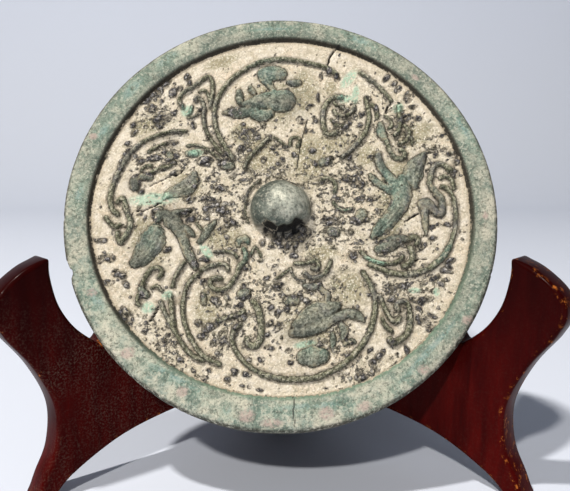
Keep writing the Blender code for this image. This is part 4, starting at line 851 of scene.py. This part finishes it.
def cut_away(piece, cutter):
    """Takes the cutter out of the piece with an exact Boolean, and removes the cutter."""
    step = piece.modifiers.new("cut", "BOOLEAN")
    step.operation = "DIFFERENCE"
    step.solver = "EXACT"
    step.object = cutter
    bpy.context.view_layer.update()
    cut = bpy.data.meshes.new_from_object(piece.evaluated_get(bpy.context.evaluated_depsgraph_get()))
    piece.modifiers.clear()
    piece.data = cut
    bpy.data.objects.remove(cutter, do_unlink=True)


def dark_hollow(count, *also):
    """Masks that make a freshly cut face bare and painted dark, as shade: outside every outline, and full on
    the wall's foot and on what else is named."""
    outside = {name: np.full(count, -1.0) for name in DISTANCES}
    return outside | {name: np.ones(count) for name in ("wall_foot_and_painted_shade", *also)}


def hole_cutter():
    """A tube through the knob: rings along its axis, closed by a point at each end. Its radius is
    the hole's, made up to 9 percent uneven by noise and 16 percent wider at the ends, growing with
    the square of the way out."""
    half, rings, around = 11, 23, 28
    turn = np.arange(around) / around * 2 * pi
    along, turn = np.meshgrid(np.linspace(-half, half, rings), turn, indexing="ij")
    radius = HOLE_RADIUS * (1 + 0.09 * noise(along, turn * 3, 2.0, 1) + 0.16 * (along / half) ** 2)
    sideways, z = radius * np.cos(turn), radius * np.sin(turn) + HOLE_CENTRE
    c, s = cos(HOLE_TURN), sin(HOLE_TURN)
    tube = np.stack([along * c - sideways * s, along * s + sideways * c, z], -1).reshape(-1, 3)
    ends = np.array([[-half * c, -half * s, z.mean()], [half * c, half * s, z.mean()]])
    index = np.arange(len(tube)).reshape(rings, around)
    onward = np.roll(index, -1, 1)
    sides = np.stack([index[1:], onward[1:], onward[:-1], index[:-1]], -1).reshape(-1, 4)
    faces = [sides, fan_faces(index[0], len(tube))[:, ::-1], fan_faces(index[-1], len(tube) + 1)]
    points = stood_up(np.concatenate([tube, ends]))
    # the hole's inside is painted black: painted shade
    masks = dark_hollow(len(points), "knob", "crack_and_painted_shade")
    return mesh_piece("cord_hole_cutter", points, faces, masks, bronze)


def chip_cutter():
    """A lump with a broken surface, where a chip is missing from the rim's outer edge: an ellipsoid
    whose points are moved in and out by noise, at most 22 percent."""
    inwards, along, upright = 1.7, 3.0, 3.6        # its half sizes, in mm
    rings, around = 11, 20
    v, u = np.meshgrid(np.linspace(0, pi, rings + 2), np.arange(around) / around * 2 * pi, indexing="ij")
    ball_x, ball_y = np.sin(v) * np.cos(u), np.sin(v) * np.sin(u)
    bumpy = 1 + 0.22 * noise(ball_x * 9, ball_y * 9 + 5 * v, 2.4, 2)
    x, y, z = inwards * ball_x * bumpy, along * ball_y * bumpy, upright * np.cos(v) * bumpy
    x, z = x + DISC_RADIUS + 0.2, z - 2
    c, s = cos(CHIP_TURN), sin(CHIP_TURN)
    points = np.stack([x * c - y * s, x * s + y * c, z], -1)
    body = points[1:-1].reshape(-1, 3)
    ends = np.stack([points[0].mean(0), points[-1].mean(0)])
    index = np.arange(len(body)).reshape(rings, around)
    faces = [ring_faces(index), fan_faces(index[0], len(body))[:, ::-1], fan_faces(index[-1], len(body) + 1)]
    points = stood_up(np.concatenate([body, ends]))
    # the broken face is painted dark: painted shade
    return mesh_piece("chip_cutter", points, faces, dark_hollow(len(points)), bronze)


# ---- the boards' surface ---------------------------------------------------------------

def rest_line():
    """Two ends of the straight edge that backs the mirror, in the board's own plane, in mm. At a
    distance along the board its inner face is y in front of the crossing, and the height there is
    that of a plane leaning as the mirror does, just behind it."""
    behind = RIM_THICKNESS + BACK_BULGE + GAP
    inner_y = MIRROR_FORWARD - BOARD_THICKNESS / 2 / cos(PLAN_ANGLE)
    offset = BOARD_THICKNESS / 2 * sin(PLAN_ANGLE) / cos(PLAN_ANGLE)
    ends = []
    for along in REST_ALONG:
        y = inner_y - (along - offset) * sin(PLAN_ANGLE)
        ends.append((along, (y * cos(MIRROR_LEAN) - behind) / sin(MIRROR_LEAN) + MIRROR_HEIGHT))
    return ends


def evened(ring, times):
    """A closed ring of values, each averaged with its neighbours, (before + 2 * own + after) / 4,
    so many times over."""
    for _ in range(times):
        ring = (np.roll(ring, 1, 0) + 2 * ring + np.roll(ring, -1, 0)) / 4
    return ring


def board_outline():
    """The outline in steps of about 0.4 mm, its corners eased by evening it out six times."""
    rest = rest_line()
    outline = []
    for stretch in ([rest[0]] + HORN, HEAD, FRONT_WAIST, FRONT_SOLE, FRONT_ARCH, HEEL, REAR_ARCH,
                    REAR_SOLE, REAR_WAIST, CREST + [rest[1]], [rest[1], rest[0]]):
        outline += smooth_line(stretch, 0.4)[:-1].tolist()
    return evened(np.array(outline), 6)


def board_surface():
    """The board lying in the XZ plane, its thickness along Y. The outline moves inwards by
    r * (1 - cos a) while the side rises to within r * (1 - sin a) of each face, which rounds both
    edges; r is less where the outline turns tightly. A narrow flat ring follows, then the flat face."""
    outline = board_outline()
    step = np.roll(outline, -1, 0) - outline
    heading = np.unwrap(np.arctan2(step[:, 1], step[:, 0]))
    bend = np.angle(np.exp(1j * (heading - np.roll(heading, 1))))
    tightness = np.maximum(-bend / np.linalg.norm(step, axis=1), 0)
    for _ in range(3):
        tightness = np.maximum(tightness, np.maximum(np.roll(tightness, 1), np.roll(tightness, -1)))
    rounding = evened(np.minimum(BOARD_EDGE_ROUND, 0.7 / np.maximum(tightness, 0.1)), 12)
    way = outline - np.roll(outline, 1, 0) + step
    way /= np.linalg.norm(way, axis=1)[:, None]
    inward = np.stack([way[:, 1], -way[:, 0]], -1)
    half = BOARD_THICKNESS / 2
    # rings from a face to the corner of the side: shares of r inwards and down, and the wear there, which
    # also paints the highlight along the edge
    rows = [(1.2, 0.0, 0.0), (1.0, 0.0, 0.4)]
    rows += [(1 - cos(a), 1 - sin(a), sin(2 * a) ** 0.5) for a in np.radians([67.5, 45, 22.5])]
    rows += [(0.0, 1.0, 0.5)]
    points, wear_and_highlight = [], []
    for face, half_rows in ((1, rows), (-1, rows[::-1])):
        for inset, drop, wear in half_rows:
            place = outline + inward * (inset * rounding)[:, None]
            points.append(np.stack([place[:, 0], face * (half - drop * rounding), place[:, 1]], -1))
            wear_and_highlight.append(np.full(len(place), wear))
    index = np.arange(len(points) * len(outline)).reshape(len(points), len(outline))
    points = np.concatenate(points)
    masks = {"edge": np.concatenate(wear_and_highlight), "high": points[:, 2] / HORN[-1][1]}
    return points, [ring_faces(index), index[:1], index[-1:, ::-1]], masks


def board_turn(side):
    """The angle from X of a board whose front runs to the left (-1) or to the right (1)."""
    return atan2(-sin(PLAN_ANGLE), side * cos(PLAN_ANGLE))


def turned_in_plan(points, angle):
    """Points in mm turned about the upright through the crossing and moved back to it, in metres:
    x cos a - y sin a, and x sin a + y cos a."""
    x, y, z = points.T
    c, s = cos(angle), sin(angle)
    return np.stack([x * c - y * s, x * s + y * c + CROSSING_BACK, z], -1) * MM


def slab_cutter(side, low, high):
    """A box from the height low to high where the other board passes, wider by the clearance. Its
    corners are every choice of -1 or 1 times its half sizes."""
    signs = np.array([[a, b, c] for a in (-1, 1) for b in (-1, 1) for c in (-1, 1)], dtype=float)
    points = signs * [30, BOARD_THICKNESS / 2 + GAP, (high - low) / 2] + [0, 0, (high + low) / 2]
    faces = np.array([[0, 1, 3, 2], [4, 6, 7, 5], [0, 4, 5, 1], [2, 3, 7, 6], [0, 2, 6, 4], [1, 5, 7, 3]])
    return mesh_piece("halving_cutter", turned_in_plan(points, board_turn(-side)), [faces], {}, lacquer)


def make_board(name, node, side, low, high):
    """A board of the stand with its half of the halving, which runs from the height low to high."""
    points, faces, masks = board_surface()
    piece = mesh_piece(name, turned_in_plan(points, board_turn(side)), faces, masks, lacquer)
    cut_away(piece, slab_cutter(side, low, high))
    piece.data.set_sharp_from_angle(angle=radians(50))
    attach(piece, "root")
    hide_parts(node)
    return piece


# ---- materials --------------------------------------------------------------------------

def tone(code):
    """A colour given as sRGB hex, turned linear."""
    parts = np.array([int(code[k:k + 2], 16) for k in (1, 3, 5)]) / 255
    linear = np.where(parts <= 0.04045, parts / 12.92, ((parts + 0.055) / 1.055) ** 2.4)
    return (*linear.tolist(), 1.0)


def per_mm(size):
    """Texture scale that gives a pattern this many millimetres across."""
    return 1 / (size * MM)


def add(tree, kind, inputs, out=0, stops=(), **settings):
    """Adds a node and gives one of its outputs. inputs are its sockets, by number or name, and what
    goes into each: another node's output, a plain value, or a hex colour. stops are the places and
    hex colours of a colour ramp, and settings are the node's own properties. A MapRange has the
    value in socket 0 and turns the range from 1 to 2 into the one from 3 to 4, which is 0 to 1 where
    they aren't given. A Math node has its numbers in 0, 1 and 2."""
    made = tree.nodes.new("ShaderNode" + kind)
    for name, value in settings.items():
        setattr(made, name, value)
    for socket, source in inputs.items():
        if isinstance(source, bpy.types.NodeSocket):
            tree.links.new(source, made.inputs[socket])
        else:
            made.inputs[socket].default_value = tone(source) if isinstance(source, str) else source
    for number, (place, code) in enumerate(stops):
        stop = made.color_ramp.elements[number] if number < 2 else made.color_ramp.elements.new(1.0)
        stop.position = place
        stop.color = tone(code)
    return made.outputs[out]


def layered(tree, colour, layers):
    """Colours laid one over another. Each layer has its colour, the most it may cover, and ranges
    (source, low, high) that fade it in from low to high; together they multiply. A colour is a hex
    code, an output, or a source with the stops of a colour ramp. A Mix node has the share in socket
    0 and the lower and the upper colour in 6 and 7."""
    for over, cover, *ranges in layers:
        if isinstance(over, tuple):
            over = add(tree, "ValToRGB", {0: over[0]}, stops=over[1:])
        for source, low, high in ranges:
            cover = add(tree, "MapRange", {0: source, 1: low, 2: high, 4: cover})
        colour = add(tree, "Mix", {0: cover, 6: colour, 7: over}, 2, data_type="RGBA")
    return colour


def new_material(name):
    """An empty material, its node tree and its surface shader."""
    mat = bpy.data.materials.new(name)
    mat.use_nodes = True
    return mat, mat.node_tree, mat.node_tree.nodes["Principled BSDF"]


# cloudlet patterns: how many finer sizes are added to them, and how strong those are
MOTTLED = {"Detail": 5.0, "Roughness": 0.65}


def buried_bronze():
    """Cast tin bronze long buried: dull grey-green copper carbonates and tin oxide over the metal,
    near-black grains where it corroded through, and pale dry earth packed into the hollows."""
    mat, tree, shader = new_material("buried_cast_bronze")
    mask = {name: add(tree, "Attribute", {}, "Fac", attribute_name=name) for name in MASKS}
    where = add(tree, "TexCoord", {}, "Object")
    # Cloudlets of five sizes in mm, the fourth a little twisted. Real grit and dust are a tenth of a
    # millimetre and finer; the last two sizes and the crumbs are drawn this coarse so that they show.
    broad, middle, fine, grit, dust = [
        add(tree, "TexNoise", {"Vector": where, "Scale": per_mm(size), "Distortion": twist} | MOTTLED)
        for size, twist in ((9, 0), (2.4, 0), (0.75, 0), (0.9, 0.6), (0.5, 0))]
    cell = add(tree, "TexVoronoi", {"Vector": where, "Scale": per_mm(1.5)}, "Color")
    bluish, blackened = [add(tree, "SeparateColor", {0: cell}, channel) for channel in (0, 2)]
    speck = add(tree, "TexVoronoi", {"Vector": where, "Scale": per_mm(0.9)}, "Distance")
    crumb = add(tree, "TexVoronoi", {"Vector": where, "Scale": per_mm(0.62)}, "Distance")

    # how far inside each outline a point lies, in mm, made ragged
    ragged = add(tree, "MapRange", {0: fine, 1: 0.3, 2: 0.7, 3: -0.2, 4: 0.2})
    inside = {name: add(tree, "Math", {0: ragged, 1: share, 2: mask[name]}, operation="MULTIPLY_ADD")
              for name, share in (("ornament", 1.0), ("crust", 1.4), ("wall_foot_and_painted_shade", 1.6))}

    # dry earth: ochre and grey in patches, olive near the copper, with dark and pale crumbs, and painted
    # shade between the knobs of the clumps
    earth = layered(tree, "#E0D6BF", [
        ((middle, (0.34, "#B5AB95"), (0.44, "#CDC2AD"), (0.54, "#DBD1BF"), (0.68, "#E6DED0")), 1.0),
        ("#DCC8AC", 0.45, (broad, 0.5, 0.64)),
        ("#C6BEA8", 0.7, (mask["sandy"], 0.1, 1.0), (fine, 0.6, 0.42)),
        ((middle, (0.38, "#7B7C61"), (0.5, "#978D6F"), (0.62, "#ABA588")), 0.85, (mask["olive"], 0.25, 0.7),
         (fine, 0.2, 0.45)),
        ("#A9A691", 0.5, (grit, 0.5, 0.58), (broad, 0.36, 0.58)),
        ("#4E4736", 0.8, (dust, 0.42, 0.35), (mask["sandy"], -0.35, 0.9)),
        ("#F3ECDD", 0.75, (dust, 0.54, 0.62)),
        ("#A89779", 0.6, (mask["wall_foot_and_painted_shade"], -1.0, -0.3), (middle, 0.38, 0.56)),
        # painted shade in the gaps between the knobs of a clump
        ("#2E2920", 0.8, (mask["clump"], 0.1, 0.6), (fine, 0.6, 0.42))])
    # the ornament's skin: mottled lines, darker bodies pale along the back from wear and a painted highlight,
    # painted shade along their edges, and teal bloom
    patina = layered(tree, "#75765F", [
        ((fine, (0.36, "#27281F"), (0.46, "#545541"), (0.54, "#797A62"), (0.64, "#AFAD95")), 1.0),
        ("#5F5E48", 0.5, (broad, 0.48, 0.62)),
        ((fine, (0.32, "#33362F"), (0.45, "#555A4F"), (0.55, "#757A6D"), (0.68, "#A0A395")), 1.0,
         (mask["body"], 0.0, 0.4)),
        # pale along the back of the bodies: wear and a painted highlight
        ((fine, (0.32, "#6A685A"), (0.5, "#918F7D"), (0.68, "#BCB8A4")), 0.8, (mask["body"], 0.6, 1.9),
         (middle, 0.38, 0.58)),
        ("#6A666C", 0.6, (broad, 0.48, 0.36)),
        ((fine, (0.34, "#35524A"), (0.5, "#5F8275"), (0.66, "#95B0A0")), 0.85, (mask["teal"], 0.0, 1.0),
         (middle, 0.75, 0.35)),
        ("#3C3F36", 0.7, (middle, 0.48, 0.36), (mask["body"], 0.0, 0.6)),
        # painted shade along the edges of the bodies
        ("#2E2F26", 0.6, (mask["body"], 0.45, 0.05), (mask["body"], -0.2, 0.1)),
        ("#BBB094", 0.75, (mask["body"], 1.3, 0.0), (mask["body"], -0.3, 0.0), (middle, 0.5, 0.58)),
        ("#D0CAB4", 0.65, (grit, 0.53, 0.6), (mask["body"], 0.5, 0.0)),
        ("#A9AC9E", 0.5, (dust, 0.54, 0.62)),
        ("#1B1C16", 0.65, (dust, 0.44, 0.36))])
    # the crust's grains: brown, blue-grey or nearly black, dusted with earth, with painted highlights on
    # their tops and painted shade between the crumbs
    grain = layered(tree, "#7A7462", [
        ((grit, (0.37, "#2D2820"), (0.46, "#696354"), (0.53, "#ACA692"), (0.61, "#DED7C2")), 1.0),
        ((grit, (0.37, "#242425"), (0.46, "#58575A"), (0.53, "#969494"), (0.61, "#D0CDC6")), 1.0,
         (bluish, 0.5, 0.55)),
        ((grit, (0.37, "#1D1D1E"), (0.46, "#4C4B4F"), (0.54, "#7F7D80"), (0.63, "#C0BDBA")), 1.0,
         (mask["clump"], 0.3, 0.7), (blackened, 0.7, 0.65)),
        # pale tops on the loose grains: earth dust and a painted highlight
        ("#A39B86", 0.35, (mask["crust"], 0.1, 0.35), (mask["clump"], 0.6, 0.2), (grit, 0.42, 0.56)),
        ("#D8CFB8", 0.6, (fine, 0.54, 0.62)),
        # painted shade in the crevices between crumbs
        ("#15140F", 0.4, (crumb, 0.4, 0.6))])
    # the rim's smooth skin: pale grey-green, stained teal, dark and pink, dirty at both edges, and with
    # painted shade on the rounded outer edge
    rim = layered(tree, "#A9AE9F", [
        ((broad, (0.37, "#65786E"), (0.45, "#94A297"), (0.53, "#BABBAA"), (0.61, "#CFCAB8")), 1.0),
        ((middle, (0.36, "#93A293"), (0.64, "#D0CBB8")), 0.65, (middle, 0.5, 0.6)),
        ("#70766B", 0.85, (mask["rim_dark"], 0.0, 0.9), (broad, 0.8, 0.35)),
        ((middle, (0.3, "#5B7A6D"), (0.5, "#799987"), (0.7, "#97B0A0")), 0.85, (mask["rim_teal"], 0.0, 0.9),
         (middle, 0.8, 0.3)),
        ((middle, (0.35, "#4E5E53"), (0.6, "#6D7E70")), 0.65, (mask["shoulder"], 0.0, 1.0)),
        ("#66776B", 0.75, (middle, 0.49, 0.38)),
        ("#DAD7C6", 0.5, (fine, 0.53, 0.64)),
        ("#424B40", 0.6, (grit, 0.47, 0.38)),
        ("#CFCDBB", 0.4, (dust, 0.54, 0.64)),
        ("#50554A", 0.45, (dust, 0.44, 0.35)),
        ("#BCA49C", 0.65, (mask["blush"], 0.35, 0.7), (fine, 0.36, 0.5)),
        ("#7B9FA0", 0.45, (mask["rim_teal"], 0.7, 1.0), (middle, 0.42, 0.52)),
        # darker on the rounded outer edge: dirt and painted shade
        ("#6F6A5C", 0.6, (mask["rim_edge"], 0.0, 1.0), (middle, 0.62, 0.4)),
        ("#2E2A21", 0.85, (mask["rim_edge"], 0.5, 0.95), (fine, 0.6, 0.48))])
    # the wall's foot: dark dirt, with painted shade on the side turned from the light and a painted shadow on
    # the field beside it, and green where daylight reaches
    foot = layered(tree, "#1F1B13", [
        ((fine, (0.35, "#1D1A12"), (0.6, "#39342A")), 1.0),
        ((fine, (0.35, "#4F6A59"), (0.6, "#87A08B")), 0.9, (mask["sunny"], 0.0, 1.0))])
    # the knob: dark, and rubbed pale and bright where a thumb would rest
    knob = layered(tree, "#666A5F", [
        ((middle, (0.36, "#2C3530"), (0.5, "#4C554E"), (0.64, "#70776D")), 1.0),
        ((middle, (0.36, "#7A7F76"), (0.5, "#A6AA9E"), (0.64, "#CCCCBE")), 1.0, (mask["worn"], 0.0, 1.0)),
        ("#33362F", 0.6, (fine, 0.5, 0.35)),
        ("#C9C6B6", 0.4, (grit, 0.52, 0.64))])
    colour = layered(tree, earth, [
        (patina, 1.0, (inside["ornament"], -0.04, 0.05)),
        # a dark line just outside the ornament's outline: dirt and painted shade at its foot
        ("#221F17", 0.6, (inside["ornament"], -0.14, -0.05), (inside["ornament"], 0.08, -0.02),
         (middle, 0.4, 0.52)),
        (grain, 1.0, (inside["crust"], -0.02, 0.04)),
        # a dark ring at the outline of the grains: dirt and painted shade at their foot
        ("#1F1C15", 0.45, (inside["crust"], -0.10, -0.03), (inside["crust"], 0.08, 0.0)),
        ((fine, (0.36, "#6A9F88"), (0.5, "#97C2A9"), (0.64, "#CBDCC6")), 0.85,
         (mask["verdigris"], 0.4, 0.75), (fine, 0.38, 0.52)),
        # dark stains and painted shade
        ("#2B2B2C", 0.4, (mask["dark_stain_and_painted_shade"], 0.0, 1.0)),
        (foot, 1.0, (inside["wall_foot_and_painted_shade"], -0.1, 0.12)),
        (rim, 1.0, (mask["rim"], 0.0, 1.0)),
        (knob, 1.0, (mask["knob"], 0.0, 1.0)),
        ((broad, (0.35, "#3E4A42"), (0.5, "#56655A"), (0.66, "#8C9A84")), 1.0, (mask["reverse"], 0.0, 1.0)),
        # dark round the foot of the relief: dirt and painted shade
        ("#241F16", 0.6, (mask["hollow_dirt_and_painted_shade"], 0.0, 1.0), (fine, -0.1, 0.6)),
        ("#2B251A", 0.8, (mask["pit"], -0.02, 0.12)),
        # black in the cracks, and painted shade under the knob's eaten foot, round the cord hole and inside
        # it
        ("#0C0A07", 1.0, (mask["crack_and_painted_shade"], 0.0, 1.0)),
        ("#33312A", 0.6, (speck, 0.2, 0.12), (broad, 0.42, 0.62))])
    tree.links.new(colour, shader.inputs["Base Color"])

    # matt where corroded; the knob and the reverse are smoother and show a little metal
    rough = add(tree, "MapRange", {0: mask["knob"], 3: 0.88, 4: 0.52})
    rough = add(tree, "Math", {0: mask["reverse"], 1: -0.3, 2: rough}, operation="MULTIPLY_ADD")
    tree.links.new(rough, shader.inputs["Roughness"])
    bare = add(tree, "Math", {0: mask["knob"], 1: mask["reverse"]}, operation="ADD")
    tree.links.new(add(tree, "MapRange", {0: bare, 4: 0.3}), shader.inputs["Metallic"])
    # crisp shoulders on the ornament and the grains, and grit all over
    lumps = add(tree, "Math", {0: grit, 1: fine}, operation="ADD")
    lumps = add(tree, "MapRange", {0: lumps, 2: 2.0, 4: 0.9})
    for name, low, high, rise in (("ornament", -0.1, 0.25, 0.5), ("crust", -0.05, 0.2, 0.5)):
        shoulder = add(tree, "MapRange", {0: inside[name], 1: low, 2: high, 4: rise})
        lumps = add(tree, "Math", {0: lumps, 1: shoulder}, operation="ADD")
    calm = add(tree, "MapRange", {0: mask["knob"], 3: 1.0, 4: 0.5})
    calm = add(tree, "MapRange", {0: mask["body"], 1: 0.1, 2: 0.6, 3: calm, 4: 0.5})
    bump = add(tree, "Bump", {"Height": lumps, "Strength": calm, "Distance": 1.2 * MM})
    tree.links.new(bump, shader.inputs["Normal"])
    return mat


def red_lacquer():
    """Hardwood under dark red lacquer, brushed on in upright strokes and rubbed: a faint gloss over a nearly
    black red, dust on it, and bare orange wood where the edges have been handled, which also stands in for a
    painted highlight along them."""
    mat, tree, shader = new_material("rubbed_red_lacquer_on_hardwood")
    where = add(tree, "TexCoord", {}, "Object")
    upright = add(tree, "Mapping", {"Vector": where, "Scale": (1, 1, 0.18)})
    streak = add(tree, "TexNoise", {"Vector": upright, "Scale": per_mm(3.5), "Detail": 4.0, "Roughness": 0.6})
    # real dust is finer than 0.5 mm, and is drawn this coarse so that it shows
    cloudy, chips, dust = [add(tree, "TexNoise", {"Vector": where, "Scale": per_mm(size)} | MOTTLED)
                           for size in (22, 1.6, 0.5)]
    mask = {name: add(tree, "Attribute", {}, "Fac", attribute_name=name) for name in ("edge", "high")}
    sideways = add(tree, "SeparateXYZ", {0: where})

    # a film of dust, thin on the right and growing from the middle to 50 mm out on the left
    film = add(tree, "MapRange", {0: sideways, 1: 0.0, 2: -0.05, 3: 0.04, 4: 0.36})
    for source, low, high in ((dust, 0.48, 0.72), (cloudy, 0.35, 0.65), (mask["high"], 1.0, 0.6)):
        film = add(tree, "MapRange", {0: source, 1: low, 2: high, 4: film})
    # bare wood along the edges: wear, and a painted highlight
    bare = add(tree, "MapRange", {0: mask["edge"]})
    for source, low, high in ((chips, 0.56, 0.64), (cloudy, 0.47, 0.61)):
        bare = add(tree, "MapRange", {0: source, 1: low, 2: high, 4: bare})
    colour = layered(tree, "#480806", [
        ((streak, (0.35, "#300404"), (0.55, "#3C0605"), (0.75, "#490806")), 1.0),
        ("#160303", 0.8, (mask["high"], 0.45, 1.0)),
        ("#8C7A6C", film),
        ((chips, (0.4, "#7A3A16"), (0.6, "#B4682E")), bare)])
    tree.links.new(colour, shader.inputs["Base Color"])
    rough = add(tree, "Math", {0: film, 1: 1.2, 2: 0.3}, operation="MULTIPLY_ADD")
    rough = add(tree, "Math", {0: bare, 1: 0.4, 2: rough}, operation="MULTIPLY_ADD")
    tree.links.new(rough, shader.inputs["Roughness"])
    # new lacquer has an IOR of 1.5 and a full gloss; rubbed, it is nearly dull under a thin wax film
    shader.inputs["Specular IOR Level"].default_value = 0.012
    shader.inputs["Coat Weight"].default_value = 0.15
    shader.inputs["Coat IOR"].default_value = 1.18
    shader.inputs["Coat Roughness"].default_value = 0.12
    bump = add(tree, "Bump", {"Height": streak, "Strength": 0.25, "Distance": 0.15 * MM})
    tree.links.new(bump, shader.inputs["Normal"])
    return mat


def plain_backdrop():
    """Board painted matt in a pale cool grey: even, with no shine."""
    mat, _, shader = new_material("pale_painted_board")
    shader.inputs["Base Color"].default_value = tone("#CED5E3")
    shader.inputs["Roughness"].default_value = 0.8
    return mat


# ---- studio -------------------------------------------------------------------------------

def make_stage():
    """A pale floor that sweeps up into a wall behind: a flat stretch, a quarter circle and an
    upright one, carried sideways. Sizes are in metres."""
    near, reach, round_off, top, wide = -5.0, 0.75, 0.35, 1.6, 5.0
    bend = np.radians(np.linspace(0, 90, 19))
    run = np.concatenate([[near], reach + round_off * np.sin(bend), [reach + round_off]])
    rise = np.concatenate([[0], round_off * (1 - np.cos(bend)), [top]])
    x, k = np.meshgrid(np.linspace(-wide, wide, 9), np.arange(len(run)), indexing="ij")
    points = np.stack([x, run[k], rise[k]], -1).reshape(-1, 3)
    index = np.arange(len(points)).reshape(x.shape)
    mesh_piece("floor_sweep", points, [grid_faces(index)], {}, plain_backdrop())


def make_light(name, place, size, watts, colour):
    """A round soft lamp of that size, in metres, turned towards the lower part of the mirror."""
    lamp = bpy.data.lights.new(name, "AREA")
    lamp.shape = "DISK"
    lamp.size = size
    lamp.energy = watts
    lamp.color = tone(colour)[:3]
    lit = bpy.data.objects.new(name, lamp)
    bpy.context.scene.collection.objects.link(lit)
    lit.location = place
    lit.rotation_euler = (Vector((0, -0.02, 0.06)) - Vector(place)).to_track_quat("-Z", "Y").to_euler()


def make_camera():
    """In front and a little above the middle of the mirror, looking down. Places are in mm, and
    the angle in degrees."""
    sideways, away, above, down = 1.15, 180, 15.6, 8
    lens = bpy.data.cameras.new("camera")
    lens.sensor_width = 36.0
    lens.lens = 44.46
    lens.clip_start = 0.01
    camera = bpy.data.objects.new("camera", lens)
    bpy.context.scene.collection.objects.link(camera)
    camera.location = (sideways * MM, (MIRROR_CENTRE[1] - away) * MM, (MIRROR_HEIGHT + above) * MM)
    camera.rotation_euler = (radians(90 - down), 0, 0)
    bpy.context.scene.camera = camera


def make_world():
    """A weak, even, cool grey light from all round."""
    world = bpy.data.worlds.new("studio")
    world.use_nodes = True
    back = world.node_tree.nodes["Background"]
    back.inputs[0].default_value = tone("#C4C8D0")
    back.inputs[1].default_value = 0.18
    bpy.context.scene.world = world


bronze = buried_bronze()
lacquer = red_lacquer()

surface, faces, masks = mirror_surface()
mirror = mesh_piece("bronze_mirror_cast", stood_up(surface), faces, masks, bronze)
cut_away(mirror, hole_cutter())
cut_away(mirror, chip_cutter())
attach(mirror, "root")
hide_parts("bronze_mirror")
# the left board is cut from the halving upwards, and the right one from there down
make_board("left_board_lacquered", "stand_board_left", -1, HALVING_HEIGHT - GAP, ABOVE_ALL)
make_board("right_board_lacquered", "stand_board_right", 1, BELOW_ALL, HALVING_HEIGHT + GAP)

make_stage()
make_world()
# places and sizes in metres, then watts
make_light("key", (-0.48, -1.50, 1.32), 0.10, 27, "#FFF8EE")
make_light("side", (-0.62, -0.45, 1.47), 0.08, 23, "#FFF9F0")
make_light("fill", (0.4, -0.9, 0.6), 0.7, 0.4, "#EAF0FF")
make_camera()
bpy.context.scene.view_settings.view_transform = "Standard"
